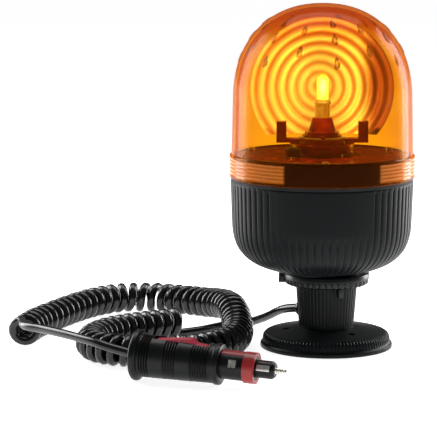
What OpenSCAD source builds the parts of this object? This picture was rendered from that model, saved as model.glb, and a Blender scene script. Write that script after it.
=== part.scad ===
// Rotating warning beacon on a magnetic foot, with a curly cord and a vehicle plug.
// Millimetres, +Z up. The origin is on the floor, under the axis of the lens.

/* [Lens] */
// Outside diameter of the lens collar
collar_d = 132; // [124:1:160]
// Height of the collar band
collar_h = 17; // [14:1:22]
// Height of the lens from the collar's lower edge to the crown
lens_h = 123; // [118:1:150]
// Wall of the lens
lens_wall = 2.6; // [2:0.1:3.5]
// Step between the collar and the dome above it
collar_step = 1.6; // [1:0.1:3]

/* [Body] */
// Height of the cup from its floor to the gasket
cup_h = 66; // [60:1:90]
// Wall of the cup
cup_wall = 2.6; // [2:0.1:4]
// Flutes around the cup
cup_flutes = 64; // [40:1:80]
// Thickness of the lens gasket
gasket_t = 2.2; // [1.5:0.1:4]
// Thickness of the chassis plate
plate_t = 2; // [1.5:0.1:3]

/* [Foot] */
// Outside diameter of the foot's lip
foot_d = 94.6; // [90:1:120]
// Height of the foot cover at the stem
foot_h = 14.6; // [14:0.2:18]
// Height of the stem above the foot cover
stem_h = 31.4; // [28:1:60]
// Diameter of the stem at its top
stem_d = 44; // [42:0.5:54]
// Distance of the stem's axis from the lens axis
stem_offset = 3.8; // [0:0.2:6]
// Wall of the lock ring around the neck
lock_wall = 4.7; // [3:0.1:6]
// Height of the lock ring
lock_h = 8.2; // [7:0.2:12]

/* [Drive] */
// Diameter of the carrier's friction rim
rim_d = 45.6; // [44:0.4:50]
// Diameter of the drive roller
roller_d = 11.4; // [9:0.2:12]
// Diameter of the motor can
motor_d = 24; // [20:0.5:27]
// Height of the motor can
motor_h = 25; // [18:1:32]
// Direction of the motor from the lamp axis
motor_dir = 222; // [200:1:240]
// Outside diameter of the bearing post
post_d = 28; // [26:0.5:34]

/* [Reflector] */
// Diameter of the dish
dish_d = 102; // [90:1:104]
// Focal length of the dish
dish_focus = 28; // [26:0.5:32]
// Wall of the dish
dish_wall = 1.5; // [1:0.1:2.5]
// Concentric steps pressed into the dish
dish_rings = 7; // [4:1:9]
// Height of the dish's middle above the chassis plate
dish_rise = 46.2; // [44:0.5:48]

/* [Bulb] */
// Diameter of the bulb's metal base
bulb_base_d = 10.8; // [9:0.2:13]
// Diameter of the bulb's glass
bulb_glass_d = 9.2; // [8:0.2:10]
// Length of the glass
bulb_glass_h = 19; // [15:0.5:22]

/* [Plug] */
// Diameter of the flange behind the grip
plug_flange_d = 34.4; // [32:0.2:34.4]
// Diameter of the grip
plug_grip_d = 29; // [27:0.2:30]
// Length of the grip with its flange
plug_grip_l = 62; // [60:1:70]
// Diameter of the barrel
plug_barrel_d = 18.8; // [18:0.2:19]
// Outside diameter of the adapter ring, which fits a 21 mm socket
plug_adapter_d = 21; // [20.6:0.1:21]
// Diameter of the nose, which fits a 12 mm socket
plug_nose_d = 12; // [12:0.1:12.2]
// Travel of the tip pin
tip_travel = 3; // [2:0.5:4]

/* [Cord] */
// Diameter of the cord
cord_d = 6.4; // [6:0.1:6.6]
// Outside diameter of the curly part
coil_d = 23; // [22:0.5:23.4]

/* [Hidden] */
$fn = 96;

// Clearances: still joints, parts that run in each other, and pieces that pass in motion
gap = 0.2;
run = 0.05;
pass = 0.3;

// Heights of the foot, stem and body, from the floor up
pad_t = 1;
foot_lip_h = 3.4;
foot_edge_z = foot_h - 3.6;
stem_top_z = foot_h + stem_h;
lock_top_z = stem_top_z + lock_h;
cup_floor_z = lock_top_z + 0.2;
gasket_z = cup_floor_z + cup_h;
collar_z = gasket_z + gasket_t + pass;
crown_z = collar_z + lens_h;

// Radii of the body and the lens
collar_r = collar_d / 2;
dome_r = collar_r - collar_step;
cup_r = collar_r - 1;
neck_r = collar_r - 3.6;
neck_wall = 2.4;
neck_h = 19;
ledge_r = neck_r - 7.9;
ledge_h = 8;
cup_draft = 0.03;
cup_round_h = 40;
cup_power = 3;
dome_round_h = 68;
dome_power = 2.2;
profile_steps = 24;

// The chassis plate lies on the ledge inside the neck
plate_z = gasket_z + neck_h - 2.7;
plate_top_z = plate_z + plate_t;
plate_r = neck_r - neck_wall - gap;

// Foot
foot_r = foot_d / 2;
foot_wall_r = foot_r - 1.4;
foot_top_r = foot_r - 5.2;
magnet_h = 6.5;
cup_plate_t = 1.5;
magnet_cup_r = foot_r - 4.3;
magnet_cup_top = pad_t + magnet_h + cup_plate_t;
stem_r = stem_d / 2;
stem_foot_r = stem_r - 2.4;
stem_bore_r = 15;
spigot_r = 15.4;
spigot_l = foot_h - magnet_cup_top - gap;
foot_screw_r = 29;
foot_screw_dirs = [186, 306, 66];
screw_head_r = 2.2;
screw_shank_r = 1.5;
stem_flutes = 36;
foot_flutes = 48;

// Neck of the cup, which the lock ring turns on
neck_bore_r = stem_r + gap;
neck_out_r = neck_bore_r + 3.4;
lock_r = neck_out_r + pass + lock_wall;
lock_lip_h = 2.2;
lock_teeth = 40;

// Drive
rim_r = rim_d / 2;
roller_r = roller_d / 2;
drive_gap = 0.12;
drive_centre = rim_r + roller_r + drive_gap;
motor_x = drive_centre * cos(motor_dir);
motor_y = drive_centre * sin(motor_dir);
motor_boss_r = 3.2;
shaft_r = 1;
roller_hub_r = 3.4;
roller_z = plate_top_z + 1.4;
roller_h = 5;
post_r = post_d / 2;
post_bore_r = 10.9;
post_h = 14.2;
bush_wall = 1;
carrier_z = plate_top_z + 2.2;
carrier_h = 9.6;
arm_z = roller_z + roller_h + 2.4;
arm_top_z = carrier_z + carrier_h;
arm_x = 29;
clip_z = arm_top_z + pass;

// Reflector
dish_z = plate_top_z + dish_rise;
dish_r = dish_d / 2;
dish_back_y = dish_focus;
dish_trim_z = clip_z + 1 + pass;
ring_pitch = dish_r / (dish_rings + 0.5);
ring_depth = 0.45;

// Bulb and its holder
holder_r = post_bore_r - gap;
holder_z = plate_z - 12;
holder_shoulder_z = plate_top_z + post_h + 0.2;
holder_top_z = holder_shoulder_z + 12;
bulb_base_r = bulb_base_d / 2;
bulb_base_h = 20;
bulb_glass_r = bulb_glass_d / 2;
bulb_z = holder_top_z + 13 - bulb_base_h;
glass_z = bulb_z + bulb_base_h;

// Cord exit in the stem's side
exit_dir = 154;
exit_z = 26;
exit_r = stem_foot_r + (exit_z - foot_h) * (stem_r - stem_foot_r) / stem_h;
grommet_out = 1.8;
grommet_r = cord_d / 2 + 1.2;
cord_r = cord_d / 2;
coil_r = coil_d / 2;
cord_sides = 10;

// Plug, measured along its own axis from the back of the flange
plug_pos = [-130, -111, 17.4];
plug_turn = -18;
plug_dip = 2.6;
flange_l = 6;
grip_nose_r = 13;
barrel_end = plug_grip_l + 16;
adapter_l = 8;
nose_end = barrel_end + adapter_l + 13;
tip_end = nose_end + 8;
barrel_r = plug_barrel_d / 2;
nose_r = plug_nose_d / 2;
plug_bore_r = 5.2;
fuse_r = 3;
contact_w = 5.2;
contact_at = barrel_end - 6.5;
contact_dir = -20;
nose_contact_w = 4;
rocker_at = 34;
rocker_l = 38;
rocker_w = 9;
arm_w = 9;
arm_bed_r = barrel_r - 1.3;

// Route of the coil's axis, from the end near the plug to the end near the stem
coil_route = [[-214, -8, 11.7], [-207, 24, 11.7], [-196, 52, 11.7], [-184, 80, 11.7], [-168, 108, 11.7],
    [-148, 126, 11.7], [-124, 127, 11.7], [-101, 115, 12], [-82, 94, 14], [-69, 68, 17.5], [-63, 42, 18.2],
    [-60, 16, 14.5], [-60, -11, 12], [-64, -36, 11.7], [-76, -58, 11.7], [-96, -71, 11.7], [-120, -74, 11.7],
    [-144, -70, 11.7], [-160, -54, 11.7], [-162, -33, 11.7], [-153, -12, 11.7], [-138, 4, 11.7],
    [-119, 17, 11.7], [-101, 29, 11.7]];
// Route of the lead from the grommet to the coil, which passes under the raised bend
lead_route = [[-27, 24, 22], [-38, 43, 13], [-48, 60, 6], [-58, 65, 3.3], [-67, 59, 3.3], [-76, 50, 3.3],
    [-87, 39, 3.3]];
// Route of the tail from the coil's first turn to the plug
tail_route = [[-210, -28, 20.2], [-196, -46, 21.5], [-177, -71, 22.5], [-158, -95, 22.5], [-147, -103, 20.5]];

// Direction vectors and points of the cord's ends
function unit(v) = v / norm(v);
coil_first = coil_route[0];
coil_last = coil_route[len(coil_route) - 1];
coil_out_first = unit(coil_first - coil_route[1]);
coil_out_last = unit(coil_last - coil_route[len(coil_route) - 2]);
turn_r = coil_r - cord_r;
lead_end = coil_last + coil_out_last * 0.1 + [0, 0, -turn_r];
tail_start = coil_first + coil_out_first * 0.1 + [0, 0, turn_r];
exit_face_r = exit_r + grommet_out;
lead_start = [stem_offset + (exit_face_r + 0.05) * cos(exit_dir), (exit_face_r + 0.05) * sin(exit_dir), exit_z];
plug_axis = [cos(plug_turn) * cos(plug_dip), sin(plug_turn) * cos(plug_dip), -sin(plug_dip)];
tail_end = plug_pos - plug_axis * 0.05;

// A smooth curve through a list of points
function curve_at(p, i, t) = let (
        a = p[max(i - 1, 0)], b = p[i], c = p[i + 1], d = p[min(i + 2, len(p) - 1)])
    0.5 * (2 * b + (c - a) * t + (2 * a - 5 * b + 4 * c - d) * t * t + (3 * b - a - 3 * c + d) * t * t * t);
function curve(p, n) = [for (i = [0:len(p) - 2]) for (k = [0:n - 1]) curve_at(p, i, k / n), p[len(p) - 1]];
function heading(p, i) = unit(p[min(i + 1, len(p) - 1)] - p[max(i - 1, 0)]);
function side(h, up) = unit(cross(h, up));
function ring_at(c, h, r, n, up) = let (s = side(h, up), u = cross(s, h))
    [for (k = [0:n - 1]) c + r * (cos(360 * (k + 0.5) / n) * s + sin(360 * (k + 0.5) / n) * u)];

// A tube swept along points, with flat ends square to the given headings; up is never along the route
module tube(p, r, n, first, last, up = [0, 0, 1]) {
    rings = [for (i = [0:len(p) - 1])
        ring_at(p[i], i == 0 ? first : i == len(p) - 1 ? last : heading(p, i), r, n, up)];
    points = [for (q = rings) for (v = q) v];
    m = len(p);
    walls = [for (i = [0:m - 2]) for (k = [0:n - 1]) let (a = i * n + k, b = i * n + (k + 1) % n)
        for (f = [[a, b, b + n], [a, b + n, a + n]]) f];
    caps = [[for (k = [0:n - 1]) n - 1 - k], [for (k = [0:n - 1]) (m - 1) * n + k]];
    polyhedron(points, concat(walls, caps), convexity = 8);
}

// Outlines of the cup and the dome, as lists of [radius, height]
function cup_top_r(z) = cup_r - cup_draft * (gasket_z - z);
function cup_curve(inset, foot_z) = [for (i = [1:profile_steps]) let (
        u = sin(90 * (1 - i / profile_steps)), z = foot_z + cup_round_h * (1 - u))
    [(cup_top_r(z) - inset) * pow(1 - pow(u, cup_power), 1 / cup_power), z]];
function dome_curve(inset) = let (z0 = crown_z - dome_round_h) [for (i = [0:profile_steps]) let (
        u = sin(90 * i / profile_steps))
    [i == profile_steps ? 0 : (dome_r - 0.8 - inset) * pow(1 - pow(u, dome_power), 1 / dome_power),
        z0 + (dome_round_h - inset) * u]];

module ring(r_out, r_in, z0, z1) {
    translate([0, 0, z0])
        difference() {
            cylinder(h = z1 - z0, r = r_out);
            translate([0, 0, -1])
                cylinder(h = z1 - z0 + 2, r = r_in);
        }
}
module disc(r, z0, z1) {
    translate([0, 0, z0])
        cylinder(h = z1 - z0, r = r);
}
// A toothed disc: count notches of the given width and depth around its edge
module notched_disc(r, count, width, depth, z0, z1) {
    translate([0, 0, z0])
        linear_extrude(z1 - z0)
            polygon([for (i = [0:count - 1]) for (q = [[-1, 0], [-1, 1], [1, 1], [1, 0]]) let (
                    a = 360 / count * (i + 0.5) + q[0] * asin(width / 2 / r), d = r - q[1] * depth)
                [d * cos(a), d * sin(a)]]);
}
module on_stem() {
    translate([stem_offset, 0, 0])
        children();
}
module around(dirs, r) {
    for (a = dirs)
        rotate([0, 0, a])
            translate([r, 0, 0])
                children();
}
module on_plug() {
    translate(plug_pos)
        rotate([0, 0, plug_turn])
            rotate([0, plug_dip, 0])
                children();
}
// A cylinder along the plug's axis
module plug_disc(r, x0, x1) {
    translate([x0, 0, 0])
        rotate([0, 90, 0])
            cylinder(h = x1 - x0, r = r);
}

// ---- Foot ----
module foot_pad() {
    color("dimgray")
        on_stem()
            ring(magnet_cup_r - 0.4, 8, 0, pad_t);
}
module foot_cover_outline() {
    polygon([[spigot_r + gap, magnet_cup_top], [magnet_cup_r + gap, magnet_cup_top],
        [magnet_cup_r + gap, 0.3], [foot_r, 0.3], [foot_r, 1.6], [foot_r - 0.4, foot_lip_h],
        [foot_wall_r, foot_lip_h + 0.6], [foot_wall_r - 0.6, foot_edge_z - 2.6],
        [foot_wall_r - 1.2, foot_edge_z - 1], [foot_top_r, foot_edge_z], [stem_foot_r + 2, foot_h],
        [spigot_r + gap, foot_h]]);
}
module foot_cover() {
    color("#1d1f21")
        on_stem()
            difference() {
                rotate_extrude()
                    foot_cover_outline();
                around(foot_screw_dirs, foot_screw_r) {
                    disc(screw_shank_r + gap, 0, foot_h + 1);
                    disc(screw_head_r + gap, magnet_cup_top + 1.6, foot_h + 1);
                }
            }
}
module magnet_cup() {
    color("silver")
        on_stem()
            difference() {
                union() {
                    disc(magnet_cup_r, magnet_cup_top - cup_plate_t, magnet_cup_top);
                    ring(magnet_cup_r, magnet_cup_r - 1.5, pad_t, magnet_cup_top);
                    disc(12, pad_t, magnet_cup_top);
                }
                around(foot_screw_dirs, foot_screw_r)
                    disc(screw_shank_r + run, magnet_cup_top - cup_plate_t - 1, magnet_cup_top + 1);
            }
}
module ring_magnet() {
    color("#303236")
        on_stem()
            difference() {
                ring(magnet_cup_r - 1.5 - gap, 12 + gap, pad_t, pad_t + magnet_h - 0.1);
                around(foot_screw_dirs, foot_screw_r)
                    disc(screw_shank_r + 0.5, pad_t + magnet_h - 3, pad_t + magnet_h + 1);
            }
}
module foot_screws() {
    color("#3a3c3f")
        on_stem()
            around(foot_screw_dirs, foot_screw_r)
                difference() {
                    union() {
                        disc(screw_shank_r, magnet_cup_top - cup_plate_t - 0.6, magnet_cup_top + 1.7);
                        disc(screw_head_r, magnet_cup_top + 1.7, magnet_cup_top + 3.1);
                    }
                    translate([-1.6, -0.3, magnet_cup_top + 2.5])
                        cube([3.2, 0.6, 1]);
                }
}
module stem() {
    color("#1d1f21")
        difference() {
            on_stem()
                union() {
                    difference() {
                        rotate_extrude()
                            polygon([[stem_bore_r, foot_h], [stem_foot_r, foot_h], [stem_r, stem_top_z],
                                [stem_bore_r, stem_top_z]]);
                        for (i = [0:stem_flutes - 1])
                            rotate([0, 0, 360 / stem_flutes * (i + 0.5)])
                                translate([stem_foot_r + 0.1, 0, foot_h - 1])
                                    rotate([0, atan((stem_r - stem_foot_r) / stem_h), 0])
                                        translate([-0.6, -0.5, 0])
                                            cube([3, 1, stem_h + 3]);
                    }
                    ring(spigot_r, stem_bore_r - 2, foot_h - spigot_l, foot_h);
                    ring(stem_r, stem_bore_r, stem_top_z, cup_floor_z + 1.4);
                    ring(stem_foot_r - 1, stem_bore_r - 2, foot_h, foot_h + 3);
                }
            on_stem()
                translate([0, 0, exit_z])
                    rotate([0, 0, exit_dir])
                        rotate([0, 90, 0])
                            cylinder(h = stem_r + 5, r = grommet_r + run);
        }
}
module cord_grommet() {
    color("#151617")
        on_stem()
            translate([0, 0, exit_z])
                rotate([0, 0, exit_dir])
                    rotate([0, 90, 0]) {
                        translate([0, 0, stem_bore_r - 1.5])
                            cylinder(h = exit_face_r - stem_bore_r + 1.5, r = grommet_r);
                        translate([0, 0, exit_r + 0.7])
                            cylinder(h = grommet_out - 0.7, r1 = grommet_r + 1, r2 = grommet_r + 0.3);
                    }
}
module lock_ring() {
    color("#1d1f21")
        on_stem()
            difference() {
                union() {
                    disc(lock_r, stem_top_z + lock_h / 2, lock_top_z);
                    notched_disc(lock_r - 0.3, lock_teeth, 2, 1, stem_top_z + 0.6, stem_top_z + lock_h / 2 + 0.1);
                    disc(lock_r - 1.4, stem_top_z, stem_top_z + 0.7);
                    intersection() {
                        ring(lock_r + 3.8, lock_r - 2, stem_top_z + 0.6, lock_top_z - 0.8);
                        translate([-lock_r - 5, -3, 0])
                            cube([8, 6, lock_top_z]);
                    }
                    intersection() {
                        ring(stem_r + 3, stem_r + pass + 0.2, stem_top_z - 7.5, stem_top_z + 1);
                        rotate([0, 0, -68])
                            translate([stem_r - 2, -1.8, 0])
                                cube([8, 3.6, lock_top_z]);
                    }
                }
                disc(stem_r + pass, stem_top_z - 10, lock_top_z + 1);
                disc(neck_out_r + pass, stem_top_z + lock_lip_h, lock_top_z + 1);
            }
}

// ---- Cup and chassis ----
module cup_shell() {
    inner = cup_curve(cup_wall, cup_floor_z + cup_wall + 1);
    outer = [for (p = cup_curve(0, cup_floor_z)) if (p[0] > lock_r - 2) p];
    color("#1d1f21")
        difference() {
            union() {
                difference() {
                    intersection() {
                        rotate_extrude()
                            polygon(concat([[0, cup_floor_z]], [[lock_r - 2, cup_floor_z]], outer,
                                [[cup_r, gasket_z], [neck_r, gasket_z], [neck_r, gasket_z + neck_h],
                                [neck_r - neck_wall, gasket_z + neck_h], [neck_r - neck_wall, plate_z],
                                [ledge_r, plate_z], [ledge_r, plate_z - ledge_h],
                                [neck_r - neck_wall, plate_z - ledge_h - 4],
                                [cup_r - cup_wall, gasket_z - 4]],
                                [for (i = [len(inner) - 1:-1:0]) inner[i]],
                                [[0, cup_floor_z + cup_wall + 1]]));
                        union() {
                            notched_disc(cup_r + 0.01, cup_flutes, 1.6, 0.9, cup_floor_z - 2, gasket_z);
                            disc(neck_r + 1, gasket_z, gasket_z + neck_h + 1);
                        }
                    }
                    around([30, 150, 270], ledge_r + 3)
                        disc(1.6, plate_z - ledge_h + 1, plate_z + 1);
                }
                on_stem()
                    ring(neck_out_r, neck_bore_r, stem_top_z + lock_lip_h + pass, cup_floor_z + 0.5);
            }
            on_stem()
                disc(neck_bore_r, stem_top_z, cup_floor_z + 1.6);
            on_stem()
                disc(5, cup_floor_z - 1, cup_floor_z + cup_wall + 4);
        }
}
module lens_gasket() {
    color("#0f1011")
        ring(cup_r - 0.2, neck_r + 0.1, gasket_z, gasket_z + gasket_t);
}
module chassis_plate() {
    color("#2b2a2a")
        difference() {
            disc(plate_r, plate_z, plate_top_z);
            disc(holder_r + gap, plate_z - 1, plate_top_z + 1);
            translate([motor_x, motor_y, 0])
                disc(motor_boss_r + gap, plate_z - 1, plate_top_z + 1);
            for (k = [-1, 1])
                translate([motor_x, motor_y + 8 * k, 0])
                    disc(1.2, plate_z - 1, plate_top_z + 1);
            around([30, 150, 270], ledge_r + 3)
                disc(1.6, plate_z - 1, plate_top_z + 1);
            translate([22, 22, 0])
                disc(4, plate_z - 1, plate_top_z + 1);
        }
}
module chassis_screws() {
    color("silver")
        around([30, 150, 270], ledge_r + 3)
            difference() {
                union() {
                    disc(1.4, plate_z - ledge_h + 1.2, plate_top_z);
                    disc(2.3, plate_top_z, plate_top_z + 1.5);
                }
                translate([-2, -0.3, plate_top_z + 0.8])
                    cube([4, 0.6, 1]);
            }
}
module drive_motor() {
    color("silver")
        translate([motor_x, motor_y, 0])
            difference() {
                union() {
                    disc(motor_d / 2, plate_z - motor_h, plate_z);
                    disc(motor_boss_r, plate_z, plate_top_z);
                    disc(4, plate_z - motor_h - 1.5, plate_z - motor_h);
                }
                disc(shaft_r + run, plate_z - motor_h + 2, plate_top_z + 1);
                for (k = [-1, 1])
                    translate([0, 8 * k, 0])
                        disc(1, plate_z - 4, plate_z + 1);
            }
}
module motor_screws() {
    color("silver")
        for (k = [-1, 1])
            translate([motor_x, motor_y + 8 * k, 0])
                union() {
                    disc(0.95, plate_z - 3.5, plate_top_z);
                    disc(1.9, plate_top_z, plate_top_z + 1.1);
                }
}
module roller_shaft() {
    color("silver")
        translate([motor_x, motor_y, 0]) {
            disc(shaft_r, plate_z - motor_h + 2.2, roller_z + roller_h + 1);
        }
}
module drive_roller() {
    color("#caa23a")
        translate([motor_x, motor_y, 0])
            difference() {
                union() {
                    disc(roller_hub_r, roller_z - 0.8, roller_z + roller_h + 0.8);
                    disc(roller_r, roller_z, roller_z + roller_h);
                }
                disc(shaft_r + 0.02, roller_z - 2, roller_z + roller_h + 2);
            }
}
module bearing_post() {
    color("#1d1f21")
        difference() {
            union() {
                disc(post_r, plate_top_z, plate_top_z + post_h);
                disc(post_r + 2, plate_top_z, carrier_z - pass);
            }
            disc(post_bore_r, plate_top_z - 1, plate_top_z + post_h + 1);
            ring(post_r + 1, post_r - 1.2, clip_z, clip_z + 1);
        }
}
module bearing_bush() {
    color("#b5893a")
        ring(post_r + run + bush_wall, post_r + run, carrier_z, arm_top_z);
}

// ---- Reflector ----
function dish_y(r) = dish_back_y - r * r / (4 * dish_focus);
module dish_outline() {
    steps = 2 * dish_rings + 1;
    face = [for (i = [0:steps]) let (r = dish_r * i / steps) [r, dish_y(r) - (i % 2) * ring_depth]];
    back = [for (i = [steps:-1:0]) let (r = dish_r * i / steps) [r, dish_y(r) + dish_wall]];
    polygon(concat([for (p = face) [p[0], p[1]]], back));
}
module reflector() {
    color("#d9dbdd")
        difference() {
            translate([0, 0, dish_z])
                rotate([-90, 0, 0])
                    rotate_extrude()
                        dish_outline();
            translate([-dish_r - 5, -20, dish_trim_z - 60])
                cube([2 * dish_r + 10, 80, 60]);
        }
}
module gusset_outline() {
    rise = 28;
    curve_points = [for (i = [0:8]) let (z = dish_trim_z + rise * i / 8)
        [dish_y(dish_z - z) + dish_wall + 0.3, z]];
    polygon(concat([[dish_y(dish_z - dish_trim_z) + dish_wall + 0.3, arm_z]], curve_points,
        [[dish_back_y + 7, dish_trim_z + rise], [dish_back_y + 7, arm_z]]));
}
module reflector_carrier() {
    bore = post_r + run + bush_wall + 0.02;
    color("#2a2725")
        difference() {
            union() {
                disc(rim_r, carrier_z, carrier_z + 6);
                disc(bore + 2.6, carrier_z, arm_top_z);
                translate([-arm_x - 3.5, -4, arm_z])
                    cube([2 * arm_x + 7, 8, arm_top_z - arm_z]);
                for (k = [-1, 1])
                    translate([k * arm_x - 3.5, -3.5, arm_z])
                        cube([7, 7, 15]);
                translate([-5, 0, arm_z])
                    cube([10, dish_back_y + 7, arm_top_z - arm_z]);
                translate([2.5, 0, 0])
                    rotate([90, 0, -90])
                        mirror([1, 0, 0])
                            linear_extrude(5)
                                gusset_outline();
            }
            disc(bore, carrier_z - 1, arm_top_z + 1);
        }
}
module retaining_clip() {
    color("silver")
        difference() {
            ring(post_r + 2.4, post_r - 1.1, clip_z + 0.1, clip_z + 0.9);
            translate([-1.5, -post_r - 4, clip_z - 1])
                cube([3, 8, 3]);
        }
}

// ---- Bulb ----
module bulb_holder() {
    color("#8f8a80")
        difference() {
            rotate_extrude()
                polygon([[0, holder_z], [holder_r, holder_z], [holder_r, holder_shoulder_z],
                    [holder_r + 1.6, holder_shoulder_z], [holder_r + 1.6, holder_shoulder_z + 2.2],
                    [holder_r - 1, holder_shoulder_z + 2.4], [bulb_base_r + 1.8, holder_top_z - 1],
                    [bulb_base_r + 1.4, holder_top_z], [0, holder_top_z]]);
            disc(bulb_base_r + gap, bulb_z, holder_top_z + 1);
            disc(3.4, bulb_z - 8, bulb_z + 1);
            disc(1.6, holder_z - 1, bulb_z);
        }
}
module bulb_contact() {
    color("#b08d3c")
        union() {
            disc(3.2, bulb_z - 7.9, bulb_z - 2);
            disc(1.8, bulb_z - 2, bulb_z);
        }
}
module bulb_base() {
    color("silver")
        union() {
            disc(bulb_base_r, bulb_z, glass_z);
            disc(bulb_base_r + 0.9, glass_z - 3, glass_z - 1.8);
        }
}
module bulb_glass() {
    h = bulb_glass_h;
    r = bulb_glass_r;
    wall = 0.8;
    color([0.9, 0.95, 1, 0.5])
        translate([0, 0, glass_z])
            difference() {
                union() {
                    cylinder(h = h - r, r = r);
                    translate([0, 0, h - r])
                        sphere(r = r);
                }
                translate([0, 0, 2])
                    cylinder(h = h - r - 2, r = r - wall);
                translate([0, 0, h - r])
                    sphere(r = r - wall);
            }
}
module filament() {
    color("gold")
        translate([0, 0, glass_z + 2])
            union() {
                for (k = [-1, 1])
                    translate([k * 1.5, 0, 0])
                        cylinder(h = 6.4, r = 0.3, $fn = 16);
                translate([-2, 0, 6])
                    rotate([0, 90, 0])
                        cylinder(h = 4, r = 0.8, $fn = 24);
            }
}

// ---- Wiring inside the cup ----
block = [22, 10, 12];
block_at = [20, 2, plate_z - block[2]];
module terminal_block() {
    color("#d8d2c0")
        translate(block_at)
            difference() {
                cube(block);
                for (i = [0:2])
                    translate([block[0] / 6 * (2 * i + 1), block[1] / 2, -1])
                        cylinder(h = 6, r = 1.6, $fn = 24);
            }
}
module suppressor() {
    color("#3b5f8a")
        translate([18, -26, plate_z - 14])
            union() {
                cylinder(h = 14, r = 5.5);
                translate([0, 0, -1])
                    cylinder(h = 1, r = 4.5);
            }
}
inner_cable_route = [[stem_offset - 8, 3.8, exit_z + 1], [stem_offset - 3, 1, exit_z + 7],
    [stem_offset, 0, exit_z + 15], [stem_offset, 0, cup_floor_z + 6], [8, 0, cup_floor_z + 24],
    [20, 4, cup_floor_z + 42], [block_at[0] + block[0] / 2, block_at[1] + block[1] / 2, block_at[2] - 10],
    [block_at[0] + block[0] / 2, block_at[1] + block[1] / 2, block_at[2] - 0.2]];
module inner_cable() {
    start = [stem_offset + (stem_bore_r - 1.6) * cos(exit_dir), (stem_bore_r - 1.6) * sin(exit_dir), exit_z];
    out = [-cos(exit_dir), -sin(exit_dir), 0];
    color("#151617")
        tube(concat([start], curve(inner_cable_route, 2)), 2.6, 8, out, [0, 0, 1], [0, 1, 0]);
}
module hookup_wires() {
    wire_r = 1.1;
    foot = block_at + [block[0] / 6, block[1] / 2, -0.2];
    color("firebrick")
        tube(curve([foot, foot + [-1, 0, -7], [10, 5, holder_z - 8], [0.5, 0.2, holder_z - 7],
            [0, 0, holder_z - 0.2]], 3), wire_r, 8, [0, 0, -1], [0, 0, 1], [0, 1, 0]);
    color("#20242a")
        tube(curve([[18, -26, plate_z - 15.2], [17, -26, plate_z - 24], [-4, -24, plate_z - 36],
            [motor_x, motor_y, plate_z - motor_h - 7], [motor_x, motor_y, plate_z - motor_h - 1.7]], 3),
            wire_r, 8, [0, 0, -1], [0, 0, 1], [0, 1, 0]);
}

// ---- Lens ----
module lens_outline() {
    rib = 0.7;
    rib_n = 5;
    pitch = (collar_h - 4) / rib_n;
    outer = dome_curve(0);
    inner = dome_curve(lens_wall);
    ribs = [for (i = [0:rib_n - 1]) for (q = [[0, 0], [-rib, pitch / 2]])
        [collar_r + q[0], collar_z + 2 + pitch * i + q[1]]];
    polygon(concat([[neck_r + 0.6, collar_z], [collar_r - 0.6, collar_z]], ribs,
        [[collar_r, collar_z + collar_h - 1.6], [dome_r + 0.2, collar_z + collar_h]],
        outer, [for (i = [len(inner) - 1:-1:0]) inner[i]],
        [[dome_r - lens_wall, collar_z + collar_h + 2], [neck_r + 0.6, collar_z + collar_h]]));
}
module lens_dome() {
    color([1, 0.55, 0.05, 0.5])
        rotate_extrude()
            lens_outline();
}

// ---- Cord ----
module cord_lead() {
    route = concat([lead_start], lead_route, [lead_end]);
    out = [cos(exit_dir), sin(exit_dir), 0];
    color("#17181a")
        tube(curve(route, 2), cord_r, cord_sides, out, -coil_out_last);
}
module cord_coil() {
    color("#17181a")
        tube(curve(coil_route, 2), coil_r, 12, -coil_out_first, coil_out_last);
}
module cord_tail() {
    route = concat([tail_start], tail_route, [tail_end]);
    color("#17181a")
        tube(curve(route, 2), cord_r, cord_sides, coil_out_first, plug_axis);
}

// ---- Plug ----
module plug_grip() {
    color("#1b1c1e")
        on_plug()
            difference() {
                union() {
                    translate([flange_l, 0, 0])
                        rotate([0, 90, 0])
                            cylinder(h = plug_grip_l - flange_l, r1 = plug_grip_d / 2, r2 = grip_nose_r);
                    plug_disc(grip_nose_r + 0.8, plug_grip_l - 4, plug_grip_l);
                }
                plug_disc(plug_bore_r, flange_l - 1, plug_grip_l + 1);
                plug_disc(barrel_r - 1.8, plug_grip_l - 8, plug_grip_l + 1);
                translate([rocker_at - rocker_l / 2 - 0.6, -rocker_w / 2 - 0.4, 7.4])
                    cube([rocker_l + 1.2, rocker_w + 0.8, 12]);
                translate([rocker_at, -rocker_w / 2 - 2.4, 8.6])
                    rotate([-90, 0, 0])
                        cylinder(h = rocker_w + 4.8, r = 1.05);
            }
}
module plug_flange() {
    color("#1b1c1e")
        on_plug()
            rotate([0, 90, 0])
                rotate_extrude()
                    polygon([[0, 0], [9, 0], [plug_flange_d / 2 - 1.6, 0.6], [plug_flange_d / 2, 2],
                        [plug_flange_d / 2, 4], [plug_flange_d / 2 - 1.6, flange_l], [0, flange_l]]);
}
module plug_barrel() {
    color("#1b1c1e")
        on_plug()
            difference() {
                union() {
                    plug_disc(barrel_r, plug_grip_l, barrel_end);
                    plug_disc(barrel_r - 2, plug_grip_l - 8, plug_grip_l);
                    plug_disc(nose_r + 1.6, barrel_end, barrel_end + adapter_l);
                }
                plug_disc(plug_bore_r - 0.8, plug_grip_l - 9, barrel_end + adapter_l + 1);
                difference() {
                    translate([plug_grip_l + 0.01, -arm_w / 2 - pass, 4])
                        cube([barrel_end - plug_grip_l + 1, arm_w + 2 * pass, 12]);
                    plug_disc(arm_bed_r, plug_grip_l - 1, barrel_end + 2);
                }
                rotate([contact_dir, 0, 0])
                    translate([contact_at - contact_w / 2 - pass, -barrel_r - 2, -contact_w / 2 - pass])
                        cube([contact_w + 2 * pass, 2 * barrel_r + 4, contact_w + 2 * pass]);
            }
}
module plug_fuse() {
    color("silver")
        on_plug()
            plug_disc(fuse_r, plug_grip_l - 22, plug_grip_l - 2);
}
module fuse_spring() {
    color("silver")
        on_plug()
            difference() {
                plug_disc(4.8, plug_grip_l - 36, plug_grip_l - 22.1);
                plug_disc(4, plug_grip_l - 37, plug_grip_l - 23);
            }
}
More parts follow.
